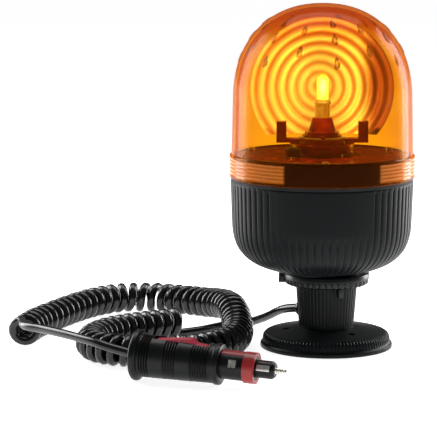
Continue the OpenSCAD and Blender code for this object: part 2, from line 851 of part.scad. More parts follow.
// The red adapter: a ring around the barrel's front with an arm back along the top
module plug_adapter() {
    adapter_r = plug_adapter_d / 2;
    color("crimson")
        on_plug()
            difference() {
                union() {
                    plug_disc(adapter_r, barrel_end + pass, barrel_end + adapter_l);
                    intersection() {
                        difference() {
                            plug_disc(adapter_r - 0.3, plug_grip_l + pass, barrel_end + 1);
                            plug_disc(arm_bed_r + pass, plug_grip_l, barrel_end + pass);
                        }
                        translate([plug_grip_l, -arm_w / 2, 4])
                            cube([30, arm_w, 12]);
                    }
                }
                plug_disc(nose_r + 1.6 + pass, barrel_end - 1, barrel_end + adapter_l + 1);
            }
}
module plug_nose() {
    x0 = barrel_end + adapter_l;
    color("#1b1c1e")
        on_plug()
            difference() {
                union() {
                    plug_disc(nose_r, x0, nose_end - 2);
                    translate([nose_end - 2, 0, 0])
                        rotate([0, 90, 0])
                            cylinder(h = 2, r1 = nose_r, r2 = nose_r - 1.6);
                }
                plug_disc(3.2 + run, x0 - 1, nose_end - 3);
                plug_disc(2.2 + run, x0, nose_end + 1);
                rotate([contact_dir, 0, 0])
                    translate([x0 + 1, -nose_r - 1, -nose_contact_w / 2 - 0.1])
                        cube([9, 2 * nose_r + 2, nose_contact_w + 0.2]);
            }
}
module nose_contacts() {
    x0 = barrel_end + adapter_l;
    color("silver")
        on_plug()
            difference() {
                intersection() {
                    plug_disc(nose_r, x0 + 1.1, x0 + 9.9);
                    rotate([contact_dir, 0, 0])
                        translate([x0 + 1, -nose_r - 1, -nose_contact_w / 2])
                            cube([9, 2 * nose_r + 2, nose_contact_w]);
                }
                plug_disc(3.6, x0 - 1, nose_end);
            }
}
module plug_tip_pin() {
    color("silver")
        on_plug()
            union() {
                plug_disc(3, nose_end - 8.5, nose_end - 3.2);
                plug_disc(2.2, nose_end - 3.3, nose_end + 3);
                plug_disc(1.4, nose_end + 2.9, tip_end - 2);
                translate([tip_end - 2, 0, 0])
                    sphere(r = 1.9);
            }
}
module side_contact(k) {
    reach = barrel_r + 0.9;
    color("silver")
        on_plug()
            rotate([contact_dir, 0, 0])
                translate([contact_at - contact_w / 2, k > 0 ? barrel_r - 3 : -reach, -contact_w / 2])
                    cube([contact_w, reach - barrel_r + 3, contact_w]);
}
module side_contact_near() {
    side_contact(-1);
}
module side_contact_far() {
    side_contact(1);
}
module switch_rocker() {
    color("crimson")
        on_plug()
            difference() {
                translate([rocker_at, rocker_w / 2, 0])
                    rotate([90, 0, 0])
                        linear_extrude(rocker_w)
                            polygon([[-rocker_l / 2, 10.2], [-3, 7.8], [3, 7.8], [rocker_l / 2, 10.2],
                                [rocker_l / 2, 13.2], [rocker_l / 2 - 4, 14.8], [rocker_l / 2 - 7, 17.4],
                                [rocker_l / 2 - 12, 17], [-rocker_l / 2, 14]]);
                translate([rocker_at, -rocker_w, 8.6])
                    rotate([-90, 0, 0])
                        cylinder(h = 2 * rocker_w, r = 1.05);
            }
}
module switch_pin() {
    color("silver")
        on_plug()
            translate([rocker_at, -rocker_w / 2 - 2, 8.6])
                rotate([-90, 0, 0])
                    cylinder(h = rocker_w + 4, r = 1);
}

foot_pad();
foot_cover();
magnet_cup();
ring_magnet();
foot_screws();
stem();
cord_grommet();
lock_ring();
cup_shell();
lens_gasket();
chassis_plate();
chassis_screws();
drive_motor();
motor_screws();
roller_shaft();
drive_roller();
bearing_post();
bearing_bush();
reflector_carrier();
reflector();
retaining_clip();
bulb_holder();
bulb_contact();
bulb_base();
bulb_glass();
filament();
terminal_block();
suppressor();
hookup_wires();
inner_cable();
lens_dome();
cord_lead();
cord_coil();
cord_tail();
plug_grip();
plug_flange();
plug_barrel();
plug_fuse();
fuse_spring();
plug_adapter();
plug_nose();
nose_contacts();
plug_tip_pin();
side_contact_near();
side_contact_far();
switch_rocker();
switch_pin();
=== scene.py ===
"""Rotating warning beacon on a magnetic foot, with a curly cord and a vehicle plug."""

import math

import bmesh
import bpy
from bpy.props import FloatProperty, FloatVectorProperty, IntProperty, PointerProperty
from mathutils import Matrix, Vector


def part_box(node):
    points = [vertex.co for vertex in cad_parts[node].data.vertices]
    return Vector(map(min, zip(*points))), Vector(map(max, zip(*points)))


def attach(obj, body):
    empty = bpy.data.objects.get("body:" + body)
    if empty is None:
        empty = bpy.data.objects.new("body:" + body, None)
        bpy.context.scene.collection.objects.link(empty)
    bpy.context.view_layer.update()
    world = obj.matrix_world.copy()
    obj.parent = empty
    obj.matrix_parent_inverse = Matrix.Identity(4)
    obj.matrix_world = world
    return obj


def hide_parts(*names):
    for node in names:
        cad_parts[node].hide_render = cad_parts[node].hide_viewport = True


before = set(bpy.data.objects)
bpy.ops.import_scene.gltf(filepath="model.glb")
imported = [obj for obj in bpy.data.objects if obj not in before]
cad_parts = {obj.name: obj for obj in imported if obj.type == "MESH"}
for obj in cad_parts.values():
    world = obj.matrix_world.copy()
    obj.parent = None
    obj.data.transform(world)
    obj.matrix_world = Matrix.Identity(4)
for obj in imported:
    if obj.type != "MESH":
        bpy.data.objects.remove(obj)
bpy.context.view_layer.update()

bl_info = {
    "name": "Rotating beacon",
    "version": (1, 0, 0),
    "blender": (4, 5, 0),
    "location": "View3D > Sidebar > Beacon",
    "description": "Builds a rotating warning beacon over its packed frame",
    "category": "Object",
}

MM = 0.001


def linear(text):
    """An sRGB hex colour as linear red, green, blue and alpha."""
    channels = [int(text[i : i + 2], 16) / 255 for i in (1, 3, 5)]
    return (*[c / 12.92 if c <= 0.04045 else ((c + 0.055) / 1.055) ** 2.4 for c in channels], 1.0)


def colour_prop(name, text, description):
    return FloatVectorProperty(
        name=name, description=description, size=4, subtype="COLOR", min=0, max=1, default=linear(text)
    )


def length_prop(name, millimetres, description):
    return FloatProperty(name=name, description=description, default=millimetres * MM, unit="LENGTH", precision=4)


# ---- Sizes that come from the frame, in millimetres ----


def span(node, axis):
    """Lowest and highest of a solid along one axis."""
    low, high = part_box(node)
    return low[axis] / MM, high[axis] / MM


COLLAR_Z, CROWN_Z = span("lens_dome", 2)
COLLAR_R = span("lens_dome", 0)[1]
CUP_Z = span("chassis_plate", 2)[0]
GASKET_Z = span("lens_gasket", 2)[0]
DISH_TRIM_Z, DISH_TOP_Z = span("reflector", 2)
DISH_R = (span("reflector", 0)[1] - span("reflector", 0)[0]) / 2
DISH_SHEET = 1.5
DISH_BACK_Y = span("reflector", 1)[1] - DISH_SHEET
STEM_X = sum(span("foot_cover", 0)) / 2
FOOT_R = (span("foot_cover", 0)[1] - span("foot_cover", 0)[0]) / 2
FOOT_TOP_Z = span("foot_cover", 2)[1]
LOCK_Z = span("lock_ring", 2)[1]

# Where the plug lies: the back of its flange, its turn on the floor and the dip of its nose
PLUG_POS = (-130, -111, 17.4)
PLUG_TURN = -18
PLUG_DIP = 2.6
PLUG = (
    Matrix.Translation(Vector(PLUG_POS) * MM)
    @ Matrix.Rotation(math.radians(PLUG_TURN), 4, "Z")
    @ Matrix.Rotation(math.radians(PLUG_DIP), 4, "Y")
)


class BeaconLensSettings(bpy.types.PropertyGroup):
    """Sizes and colour of the amber lens"""

    drops_per_ring: IntProperty(
        name="Drops per ring", description="Raised drops in each ring", default=7, min=3, max=16
    )
    drop_length: length_prop("Drop length", 9.6, "Length of one raised drop")
    drop_width: length_prop("Drop width", 4.0, "Width of one raised drop")
    drop_height: length_prop("Drop height", 0.5, "How far a drop stands out")
    rib_depth: length_prop("Rib depth", 0.4, "Depth of the ribs around the collar")
    tint: colour_prop("Tint", "#FDE78F", "Colour that one face of the wall lets through")


class BeaconBodySettings(bpy.types.PropertyGroup):
    """Sizes and colour of the black body"""

    cup_flutes: IntProperty(name="Cup flutes", description="Grooves around the cup", default=72, min=12, max=90)
    stem_flutes: IntProperty(name="Stem flutes", description="Grooves around the stem", default=48, min=12, max=60)
    foot_flutes: IntProperty(
        name="Foot flutes", description="Grooves around the foot", default=108, min=12, max=140
    )
    flute_width: length_prop("Flute width", 1.7, "Width of a groove in the cup")
    flute_depth: length_prop("Flute depth", 0.8, "Depth of a groove in the cup")
    plastic: colour_prop("Plastic", "#0A0F11", "Colour of the black plastic")


class BeaconLampSettings(bpy.types.PropertyGroup):
    """Reflector and lamp"""

    ring_pitch: length_prop("Ring pitch", 7.3, "Distance between the rings pressed into the dish")
    ring_depth: length_prop("Ring depth", 0.45, "Depth of the rings")
    # The Glow setting sets the strength of the dish's painted lamp glow
    glow: FloatProperty(name="Glow", description="Brightness of the lit dish", default=1.3, min=0, max=20)
    warm: colour_prop("Lamp colour", "#FFF6DC", "Colour of the lit lamp")


class BeaconCordSettings(bpy.types.PropertyGroup):
    """Sizes and colour of the curly cord"""

    diameter: length_prop("Diameter", 6.4, "Thickness of the cord")
    coil: length_prop("Coil diameter", 23.0, "Outside diameter of the curly part")
    pitch: length_prop("Turn pitch", 9.3, "Distance from one turn to the next")
    plastic: colour_prop("Jacket", "#070A0A", "Colour of the cord's jacket")


class BeaconPlugSettings(bpy.types.PropertyGroup):
    """Sizes and colours of the vehicle plug"""

    rib_pitch: length_prop("Grip rib pitch", 1.8, "Distance between the fine ribs on the grip")
    rib_depth: length_prop("Grip rib depth", 0.9, "Depth of the fine ribs on the grip")
    red: colour_prop("Red", "#A32426", "Colour of the adapter")
    switch: colour_prop("Switch red", "#C43A50", "Colour of the switch wedge")


class BeaconStageSettings(bpy.types.PropertyGroup):
    """Camera and light"""

    focal: FloatProperty(
        name="Focal length", description="Focal length of the camera", default=181.7, min=20, max=400, unit="CAMERA"
    )
    distance: length_prop("Distance", 1571, "Distance of the camera in front of the lens axis")
    height: length_prop("Height", 330, "Height of the camera above the floor")
    key: FloatProperty(
        name="Key light",
        description="Power of the tall light at the left",
        default=10,
        min=0,
        max=500,
        unit="POWER",
    )


# ---- Materials ----


def add(tree, kind, settings=None, links=None):
    """Adds one node, with its sockets or fields set and its inputs linked."""
    new = tree.nodes.new(kind)
    for key, value in (settings or {}).items():
        if isinstance(key, int) or key in new.inputs:
            new.inputs[key].default_value = value
        else:
            setattr(new, key, value)
    for key, source in (links or {}).items():
        tree.links.new(source, new.inputs[key])
    return new


def blank(name):
    """A new material with an empty tree and its output."""
    material = bpy.data.materials.new(name)
    material.use_nodes = True
    tree = material.node_tree
    tree.nodes.clear()
    return material, tree, add(tree, "ShaderNodeOutputMaterial")


def finish(name, base, dark, roughness, spread, patch_mm, grain_mm, grain_depth_mm, metallic=0.0, ior=1.5, coat=0.0, specular=0.5):
    """A surface with soft patches of two tones, uneven gloss and a fine grain, all sized in millimetres.

    The real grain is 0.1 to 0.2 mm and would not show, so it is drawn several times coarser."""
    material, tree, out = blank(name)
    place = add(tree, "ShaderNodeTexCoord").outputs["Object"]
    patches = add(
        tree,
        "ShaderNodeTexNoise",
        {"Scale": 1 / (patch_mm * MM), "Detail": 4.0, "Roughness": 0.6},
        {"Vector": place},
    )
    grain = add(
        tree,
        "ShaderNodeTexNoise",
        {"Scale": 1 / (grain_mm * MM), "Detail": 2.0, "Roughness": 0.5},
        {"Vector": place},
    )
    tone = add(
        tree,
        "ShaderNodeMix",
        {"data_type": "RGBA", 6: dark, 7: base},
        {0: add(
            tree, "ShaderNodeMapRange", {"From Min": 0.3, "From Max": 0.7}, {"Value": patches.outputs[0]}
        ).outputs[0]},
    )
    gloss = add(
        tree,
        "ShaderNodeMapRange",
        {"From Min": 0.3, "From Max": 0.7, "To Min": roughness - spread, "To Max": roughness + spread},
        {"Value": patches.outputs[0]},
    )
    bump = add(
        tree, "ShaderNodeBump", {"Strength": 1.0, "Distance": grain_depth_mm * MM}, {"Height": grain.outputs[0]}
    )
    shader = add(
        tree,
        "ShaderNodeBsdfPrincipled",
        {
            "Metallic": metallic,
            "IOR": ior,
            "Coat Weight": coat,
            "Coat Roughness": 0.1,
            "Specular IOR Level": specular,
        },
        {"Base Color": tone.outputs[2], "Roughness": gloss.outputs[0], "Normal": bump.outputs[0]},
    )
    tree.links.new(shader.outputs[0], out.inputs[0])
    return material


def amber_acrylic(tint):
    """Amber injection-moulded acrylic: clear and deeply tinted, redder where it is thick, with painted shade on the
    drop outlines and the collar's smooth panel, a painted lighter crown, a painted glow on the collar ribs, and a
    polished face.
    """
    material, tree, out = blank("amber acrylic, polished")
    place = add(tree, "ShaderNodeTexCoord").outputs["Object"]
    # Thickness of the drops, with painted shade on their outlines and on the collar's smooth panel
    thick_and_painted_shade = add(tree, "ShaderNodeAttribute", {"attribute_name": "thickness_and_painted_shade"})
    flow = add(tree, "ShaderNodeTexNoise", {"Scale": 1 / (24 * MM), "Detail": 3.0}, {"Vector": place})
    wall = add(
        tree,
        "ShaderNodeMix",
        {"data_type": "RGBA", 6: tint, 7: (tint[0] * 0.97, tint[1] * 0.86, tint[2] * 0.8, 1)},
        {0: flow.outputs[0]},
    )
    edge = add(tree, "ShaderNodeLayerWeight", {"Blend": 0.5})
    slant = add(
        tree,
        "ShaderNodeMapRange",
        {"interpolation_type": "SMOOTHSTEP", "From Min": 0.55, "From Max": 0.97, "To Min": 0.0, "To Max": 1.0},
        {"Value": edge.outputs["Facing"]},
    )
    height = add(tree, "ShaderNodeSeparateXYZ", None, {0: place})
    # Painted light: the tint turns paler towards the crown, a lighter top
    crown = add(
        tree,
        "ShaderNodeMapRange",
        {
            "interpolation_type": "SMOOTHSTEP",
            "From Min": (CROWN_Z - 34) * MM,
            "From Max": (CROWN_Z - 4) * MM,
            "To Min": 0.0,
            "To Max": 0.85,
        },
        {"Value": height.outputs[2]},
    )
    painted_lighter_crown = add(
        tree,
        "ShaderNodeMix",
        {"data_type": "RGBA", 7: linear("#EBAE62")},
        {0: crown.outputs[0], 6: wall.outputs[2]},
    )
    slanted = add(
        tree,
        "ShaderNodeMix",
        {"data_type": "RGBA", 7: linear("#DC9238")},
        {0: slant.outputs[0], 6: painted_lighter_crown.outputs[2]},
    )
    deep = add(
        tree,
        "ShaderNodeMix",
        {"data_type": "RGBA", 7: linear("#6E1C0C")},
        {0: thick_and_painted_shade.outputs["Fac"], 6: slanted.outputs[2]},
    )
    through = add(tree, "ShaderNodeBsdfTransparent", None, {"Color": deep.outputs[2]})
    ripple = add(
        tree,
        "ShaderNodeBump",
        {"Strength": 0.4, "Distance": 0.05 * MM},
        {"Height": add(
            tree, "ShaderNodeTexNoise", {"Scale": 1 / (6 * MM), "Detail": 1.0}, {"Vector": place}
        ).outputs[0]},
    )
    ribs = add(tree, "ShaderNodeAttribute", {"attribute_name": "ribbed"})
    # Painted glow on the collar ribs; they also take a larger share of the opaque face, a painted sheen
    painted_rib_glow = add(tree, "ShaderNodeMath", {"operation": "MULTIPLY", 1: 0.5}, {0: ribs.outputs["Fac"]})
    face = add(
        tree,
        "ShaderNodeBsdfPrincipled",
        {
            "Base Color": linear("#EF7A18"),
            "Roughness": 0.16,
            "IOR": 1.49,
            "Coat Weight": 0.22,
            "Coat Roughness": 0.06,
            "Emission Color": linear("#FF941E"),
        },
        {"Normal": ripple.outputs[0], "Emission Strength": painted_rib_glow.outputs[0]},
    )
    grazing = add(tree, "ShaderNodeMath", {"operation": "POWER", 1: 3.0}, {0: edge.outputs["Facing"]})
    share = add(tree, "ShaderNodeMapRange", {"To Min": 0.045, "To Max": 0.72}, {"Value": grazing.outputs[0]})
    face_share_with_rib_glow = add(
        tree,
        "ShaderNodeMath",
        {"operation": "MULTIPLY_ADD", "use_clamp": True, 1: 0.34},
        {0: ribs.outputs["Fac"], 2: share.outputs[0]},
    )
    mix = add(tree, "ShaderNodeMixShader", None, {0: face_share_with_rib_glow.outputs[0], 1: through.outputs[0], 2: face.outputs[0]})
    tree.links.new(mix.outputs[0], out.inputs[0])
    return material


def dish_with_painted_glow(lamp):
    """Vacuum-metallised dish, lit by the lamp, with the lamp's reflection painted on as a glow: painted highlights on
    the crests of its pressed rings, deep orange between them, a painted brighter middle and painted shade towards its
    right side.
    """
    material, tree, out = blank("aluminised dish, painted lamp glow")
    place = add(tree, "ShaderNodeTexCoord").outputs["Object"]
    centre = add(
        tree,
        "ShaderNodeMapping",
        {"Location": (0.0009, 0.0, -(DISH_TOP_Z - DISH_R) * MM), "Scale": (1.0, 0.0, 1.0)},
        {"Vector": place},
    )
    radius = add(tree, "ShaderNodeVectorMath", {"operation": "LENGTH"}, {0: centre.outputs[0]})
    wobble = add(tree, "ShaderNodeTexNoise", {"Scale": 1 / (14 * MM), "Detail": 3.0}, {"Vector": place})
    shifted = add(
        tree,
        "ShaderNodeMath",
        {"operation": "MULTIPLY_ADD", 1: 1.8 * MM},
        {0: wobble.outputs[0], 2: radius.outputs["Value"]},
    )
    turns = add(
        tree, "ShaderNodeMath", {"operation": "MULTIPLY", 1: 2 * math.pi / lamp.ring_pitch}, {0: shifted.outputs[0]}
    )
    wave = add(tree, "ShaderNodeMath", {"operation": "COSINE"}, {0: turns.outputs[0]})
    # Painted highlights on the crests of the pressed rings
    crest = add(
        tree,
        "ShaderNodeMapRange",
        {"From Min": -1.0, "From Max": 1.0, "To Min": 0.0, "To Max": 0.74},
        {"Value": wave.outputs[0]},
    )
    # Painted glow, stronger towards the middle of the dish
    middle = add(
        tree,
        "ShaderNodeMapRange",
        {"From Min": 8 * MM, "From Max": 44 * MM, "To Min": 0.3, "To Max": 0.0},
        {"Value": radius.outputs["Value"]},
    )
    # Painted shade: the glow and the metal darken towards the dish's right side
    sideways = add(tree, "ShaderNodeSeparateXYZ", None, {0: place})
    shade = add(
        tree,
        "ShaderNodeMapRange",
        {
            "interpolation_type": "SMOOTHSTEP",
            "From Min": 25 * MM,
            "From Max": 39 * MM,
            "To Min": 1.0,
            "To Max": 0.1,
        },
        {"Value": sideways.outputs[0]},
    )
    bright = add(tree, "ShaderNodeMath", {"operation": "ADD"}, {0: crest.outputs[0], 1: middle.outputs[0]})
    painted_glow_tone = add(
        tree,
        "ShaderNodeMath",
        {"operation": "MULTIPLY", "use_clamp": True},
        {0: bright.outputs[0], 1: shade.outputs[0]},
    )
    # The painted lamp glow goes only on the polished face; the back stays dark
    face = add(tree, "ShaderNodeAttribute", {"attribute_name": "polished"})
    painted_glow_mask = add(tree, "ShaderNodeMath", {"operation": "MULTIPLY"}, {0: shade.outputs[0], 1: face.outputs["Fac"]})
    strength = add(tree, "ShaderNodeMath", {"operation": "MULTIPLY", 1: lamp.glow}, {0: painted_glow_mask.outputs[0]})
    colour = add(
        tree, "ShaderNodeMix", {"data_type": "RGBA", 6: linear("#C86A28"), 7: lamp.warm}, {0: painted_glow_tone.outputs[0]}
    )
    # Painted shade in the metal's colour: dark red towards the right side
    metal = add(
        tree,
        "ShaderNodeMix",
        {"data_type": "RGBA", 6: linear("#3A1410"), 7: linear("#4E4640")},
        {0: shade.outputs[0]},
    )
    shader = add(
        tree,
        "ShaderNodeBsdfPrincipled",
        {"Metallic": 1.0, "Roughness": 0.34},
        {
            "Base Color": metal.outputs[2],
            "Emission Strength": strength.outputs[0],
            "Emission Color": colour.outputs[2],
        },
    )
    tree.links.new(shader.outputs[0], out.inputs[0])
    return material


def lit(name, colour, strength, clear=0.0):
    """A glowing surface; the lit glass also lets some of what is behind it through."""
    material, tree, out = blank(name)
    place = add(tree, "ShaderNodeTexCoord").outputs["Object"]
    flicker = add(tree, "ShaderNodeTexNoise", {"Scale": 1 / (3 * MM), "Detail": 2.0}, {"Vector": place})
    power = add(
        tree,
        "ShaderNodeMapRange",
        {"To Min": strength * 0.6, "To Max": strength * 1.4},
        {"Value": flicker.outputs[0]},
    )
    shader = add(
        tree,
        "ShaderNodeBsdfPrincipled",
        {"Base Color": colour, "Roughness": 0.1, "IOR": 1.46, "Emission Color": colour},
        {"Emission Strength": power.outputs[0]},
    )
    if clear:
        through = add(tree, "ShaderNodeBsdfTransparent", {"Color": (1, 1, 1, 1)})
        shader = add(tree, "ShaderNodeMixShader", {0: clear}, {1: shader.outputs[0], 2: through.outputs[0]})
    tree.links.new(shader.outputs[0], out.inputs[0])
    return material


MATERIALS = {}


def make_materials(scene):
    body, cord, plug = scene.beacon_body, scene.beacon_cord, scene.beacon_plug
    black = body.plastic
    soft = tuple(c * 0.72 for c in black[:3]) + (1.0,)
    jacket = cord.plastic
    MATERIALS.update(
        # Black ABS with a fine moulded grain: satin, slightly uneven in gloss
        abs=finish("black ABS, moulded grain", black, soft, 0.42, 0.06, 30, 1.1, 0.015, specular=0.18),
        # The same ABS from a smoother mould in the lock parts: a little glossier
        abs_smooth=finish("black ABS, smooth", black, soft, 0.32, 0.05, 18, 0.8, 0.01, specular=0.35),
        # Extruded PVC jacket: the darkest black, with a soft bright line along each turn
        pvc=finish(
            "black PVC, extruded",
            jacket,
            tuple(c * 0.7 for c in jacket[:3]) + (1.0,),
            0.24,
            0.04,
            12,
            0.9,
            0.008,
            coat=0.12,
            specular=0.4,
        ),
        # Moulded nylon of the plug: duller than the cord, with a little mottle
        nylon=finish(
            "black nylon, moulded", linear("#0A0D0E"), linear("#070909"), 0.36, 0.07, 9, 0.7, 0.012, specular=0.25
        ),
        # Moulded red nylon of the adapter: deep and satin
        red=finish(
            "red nylon, moulded", plug.red, tuple(c * 0.8 for c in plug.red[:3]) + (1.0,), 0.36, 0.06, 6, 0.7, 0.02
        ),
        # Moulded crimson nylon of the switch: lighter and pinker than the adapter
        crimson=finish(
            "crimson nylon, moulded",
            plug.switch,
            tuple(c * 0.85 for c in plug.switch[:3]) + (1.0,),
            0.34,
            0.06,
            6,
            0.7,
            0.02,
        ),
        # Moulded rubber of the foot pad, the gasket and the roller: flat black with no shine
        rubber=finish("black rubber, matt", linear("#141414"), linear("#0C0C0C"), 0.72, 0.08, 8, 0.7, 0.05),
        # Zinc-plated steel: bright and bluish, with cloudy patches
        zinc=finish(
            "zinc-plated steel", linear("#C9CBCC"), linear("#A9ABAE"), 0.3, 0.08, 5, 0.6, 0.01, metallic=1.0
        ),
        # Nickel-plated brass contacts: pale, with a blurred shine
        nickel=finish(
            "nickel-plated brass", linear("#F2F0EA"), linear("#DAD7D0"), 0.34, 0.08, 4, 0.5, 0.008, metallic=1.0
        ),
        # Turned brass of the lamp contact: a warm yellow glint
        brass=finish("brass, turned", linear("#C9A24B"), linear("#A88236"), 0.28, 0.06, 4, 0.5, 0.01, metallic=1.0),
        # Sintered bronze bush: brown and dull, from its pores
        bronze=finish(
            "sintered bronze", linear("#A9793F"), linear("#86592B"), 0.45, 0.08, 3, 0.4, 0.03, metallic=1.0
        ),
        # Ground ferrite magnet: dark grey and chalky
        ferrite=finish("ferrite magnet, ground", linear("#3A3B3E"), linear("#2B2C2F"), 0.6, 0.08, 7, 0.6, 0.03),
        # Blackened steel screws: dark, with a faint metal shine
        blackened=finish(
            "blackened steel", linear("#2C2D2F"), linear("#1D1E20"), 0.4, 0.08, 3, 0.5, 0.02, metallic=1.0
        ),
        # Moulded phenolic of the chassis: a deep red-brown, painted to stand in for the warm lamp light on the parts
        # under the lens, so that it shows maroon under the lens
        chassis=finish(
            "red-brown phenolic, painted lamp light",
            linear("#862222"),
            linear("#3E1010"),
            0.22,
            0.08,
            7,
            0.9,
            0.01,
            specular=0.25,
        ),
        # Natural nylon terminal block: cream and waxy
        block=finish("natural nylon block", linear("#D9D2BE"), linear("#C7BEA6"), 0.45, 0.06, 6, 0.8, 0.02),
        # Shrunk plastic sleeve of the suppressor: even blue
        sleeve=finish("blue capacitor sleeve", linear("#2F5686"), linear("#264870"), 0.35, 0.05, 5, 0.8, 0.02),
        # PVC insulation of the hook-up wires: dark red
        wire=finish("wire insulation", linear("#8E1E1C"), linear("#6F1715"), 0.4, 0.05, 5, 0.8, 0.02),
        # Moulded acrylic lens: clear amber, deepening where it is thick or seen at a slant, with painted shade on the
        # drop outlines and the collar panel, a painted lighter crown and a painted glow on the collar ribs
        amber=amber_acrylic(scene.beacon_lens.tint),
        # Metallised dish with the lamp lit: the lamp's reflection painted as a glow, rings from pale yellow to orange,
        # with painted shade towards the right side
        dish=dish_with_painted_glow(scene.beacon_lamp),
        # Lamp glass: a soft yellow glow that the filament shows through
        glass=lit("halogen glass, lit", linear("#FFD890"), 0.3, 0.5),
        # Tungsten filament: the brightest point
        filament=lit("tungsten filament, white hot", linear("#FFE6B0"), 3.0),
    )


CAD_FINISH = {
    "foot_pad": "rubber",
    "magnet_cup": "zinc",
    "ring_magnet": "ferrite",
    "foot_screws": "blackened",
    "cord_grommet": "pvc",
    "lens_gasket": "rubber",
    "chassis_plate": "chassis",
    "chassis_screws": "zinc",
    "drive_motor": "zinc",
    "motor_screws": "zinc",
    "roller_shaft": "zinc",
    "drive_roller": "rubber",
    "bearing_post": "chassis",
    "bearing_bush": "bronze",
    "reflector_carrier": "chassis",
    "retaining_clip": "zinc",
    "bulb_holder": "chassis",
    "bulb_contact": "brass",
    "bulb_base": "nickel",
    "bulb_glass": "glass",
    "filament": "filament",
    "terminal_block": "block",
    "suppressor": "sleeve",
    "hookup_wires": "wire",
    "inner_cable": "pvc",
    "plug_barrel": "nylon",
    "plug_fuse": "nickel",
    "fuse_spring": "nickel",
    "plug_adapter": "red",
    "plug_nose": "nylon",
    "nose_contacts": "nickel",
    "side_contact_near": "nickel",
    "side_contact_far": "nickel",
    "switch_pin": "zinc",
}


# ---- Shapes ----


def turned(bm, outline, steps, centre=(0, 0, 0), axis=(0, 0, 1), place=None):
    """Turns a closed outline of (radius, height) pairs, in millimetres, round an axis; returns the new points."""
    spin_axis = Vector(axis)
    out = Vector((1, 0, 0)) if abs(spin_axis.x) < 0.5 else Vector((0, 0, 1))
    hub = Vector(centre)
    points = [bm.verts.new((hub + out * r + spin_axis * h) * MM) for r, h in outline]
    rim = [bm.edges.new((points[i], points[(i + 1) % len(points)])) for i in range(len(points))]
    before = set(bm.verts) - set(points)
    bmesh.ops.spin(
        bm, geom=points + rim, cent=hub * MM, axis=spin_axis, angle=2 * math.pi, steps=steps, use_merge=True
    )
    made = [v for v in bm.verts if v not in before]
    bmesh.ops.remove_doubles(bm, verts=made, dist=2e-6)
    made = [v for v in bm.verts if v not in before]
    if place is not None:
        bmesh.ops.transform(bm, matrix=place, verts=made)
    return made


def block(bm, low, high, bevel, place=None):
    """A box between two corners, in millimetres, with its edges rounded."""
    made = bmesh.ops.create_cube(bm, size=1.0)["verts"]
    size = [(h - l) * MM for l, h in zip(low, high)]
    middle = Vector([(h + l) / 2 * MM for l, h in zip(low, high)])
    bmesh.ops.transform(bm, matrix=Matrix.Translation(middle) @ Matrix.Diagonal((*size, 1)), verts=made)
    if place is not None:
        bmesh.ops.transform(bm, matrix=place, verts=made)
    edges = {e for v in made for e in v.link_edges}
    bmesh.ops.bevel(
        bm, geom=list(edges), offset=bevel * MM, offset_type="OFFSET", segments=2, profile=0.5, affect="EDGES", material=-1
    )


def piece(name, bm, material, body, nodes, angle=40):
    """Turns bm into a smooth piece that rides on a body and stands for its CAD nodes."""
    bmesh.ops.recalc_face_normals(bm, faces=bm.faces)
    mesh = bpy.data.meshes.new(name)
    bm.to_mesh(mesh)
    bm.free()
    mesh.shade_smooth()
    mesh.set_sharp_from_angle(angle=math.radians(angle))
    obj = bpy.data.objects.new(name, mesh)
    bpy.context.scene.collection.objects.link(obj)
    mesh.materials.append(MATERIALS[material])
    if body:
        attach(obj, body)
    if nodes:
        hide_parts(*nodes)
    return obj


def cut(obj, cutter):
    """Takes the cutter's shape out of obj, and removes the cutter."""
    tool = bpy.data.objects.new("cutter", bpy.data.meshes.new("cutter"))
    cutter.to_mesh(tool.data)
    cutter.free()
    bpy.context.scene.collection.objects.link(tool)
    change = obj.modifiers.new("cut", "BOOLEAN")
    change.operation, change.solver, change.object = "DIFFERENCE", "EXACT", tool
    bpy.context.view_layer.update()
    made = bpy.data.meshes.new_from_object(obj.evaluated_get(bpy.context.evaluated_depsgraph_get()))
    obj.modifiers.clear()
    old, obj.data = obj.data, made
    made.name = old.name
    bpy.data.meshes.remove(old)
    bpy.data.objects.remove(tool)
    obj.data.set_sharp_from_angle(angle=math.radians(40))


def groove(along, count, radius, width):
    """How deep in a groove of that width a point at this angle and radius lies, from 0 to 1."""
    pitch = 2 * math.pi / count
    off = abs((along / pitch) % 1 - 0.5) * pitch * radius
    return max(0.0, 1 - (2 * off / width) ** 2)


def flute(bm, count, width, depth_at):
    """Presses grooves in around the stem's axis, as deep as depth_at says for a radius and a height."""
    for v in bm.verts:
        x, y, z = v.co.x / MM - STEM_X, v.co.y / MM, v.co.z / MM
        r = math.hypot(x, y)
        push = -depth_at(r, z) * groove(math.atan2(y, x), count, r, width)
        if push:
            v.co.x += push * x / r * MM
            v.co.y += push * y / r * MM


def smooth(low, high, x):
    """Eases from 0 at low to 1 at high."""
    t = min(1.0, max(0.0, (x - low) / (high - low)))
    return t * t * (3 - 2 * t)


def curve_through(points, steps):
    """Points on a smooth curve through the given ones."""
    points = [Vector(p) for p in points]
    last = len(points) - 1
    out = []
    for i in range(last):
        a, b, c, d = points[max(i - 1, 0)], points[i], points[i + 1], points[min(i + 2, last)]
        for k in range(steps):
            t = k / steps
            out.append(
                0.5 * (2 * b + (c - a) * t + (2 * a - 5 * b + 4 * c - d) * t * t + (3 * b - a - 3 * c + d) * t**3)
            )
    return out + [points[last]]


# ---- Lens ----

LENS_WALL = 2.6
DOME_ROUND = 68.0
DOME_POWER = 2.2
COLLAR_H = 17.0
DROP_RINGS = ((233.6, 0.5), (229.6, 0.0), (223.8, 0.5), (215.3, 0.0), (208.2, 0.5))
DROP_TURN = -19.0


def dome_radius(z, inset=0.0):
    """Radius of the dome's face at a height, in millimetres."""
    u = min(1.0, max(0.0, (z - (CROWN_Z - DOME_ROUND)) / (DOME_ROUND - inset)))
    return (COLLAR_R - 2.4 - inset) * (1 - u**DOME_POWER) ** (1 / DOME_POWER)


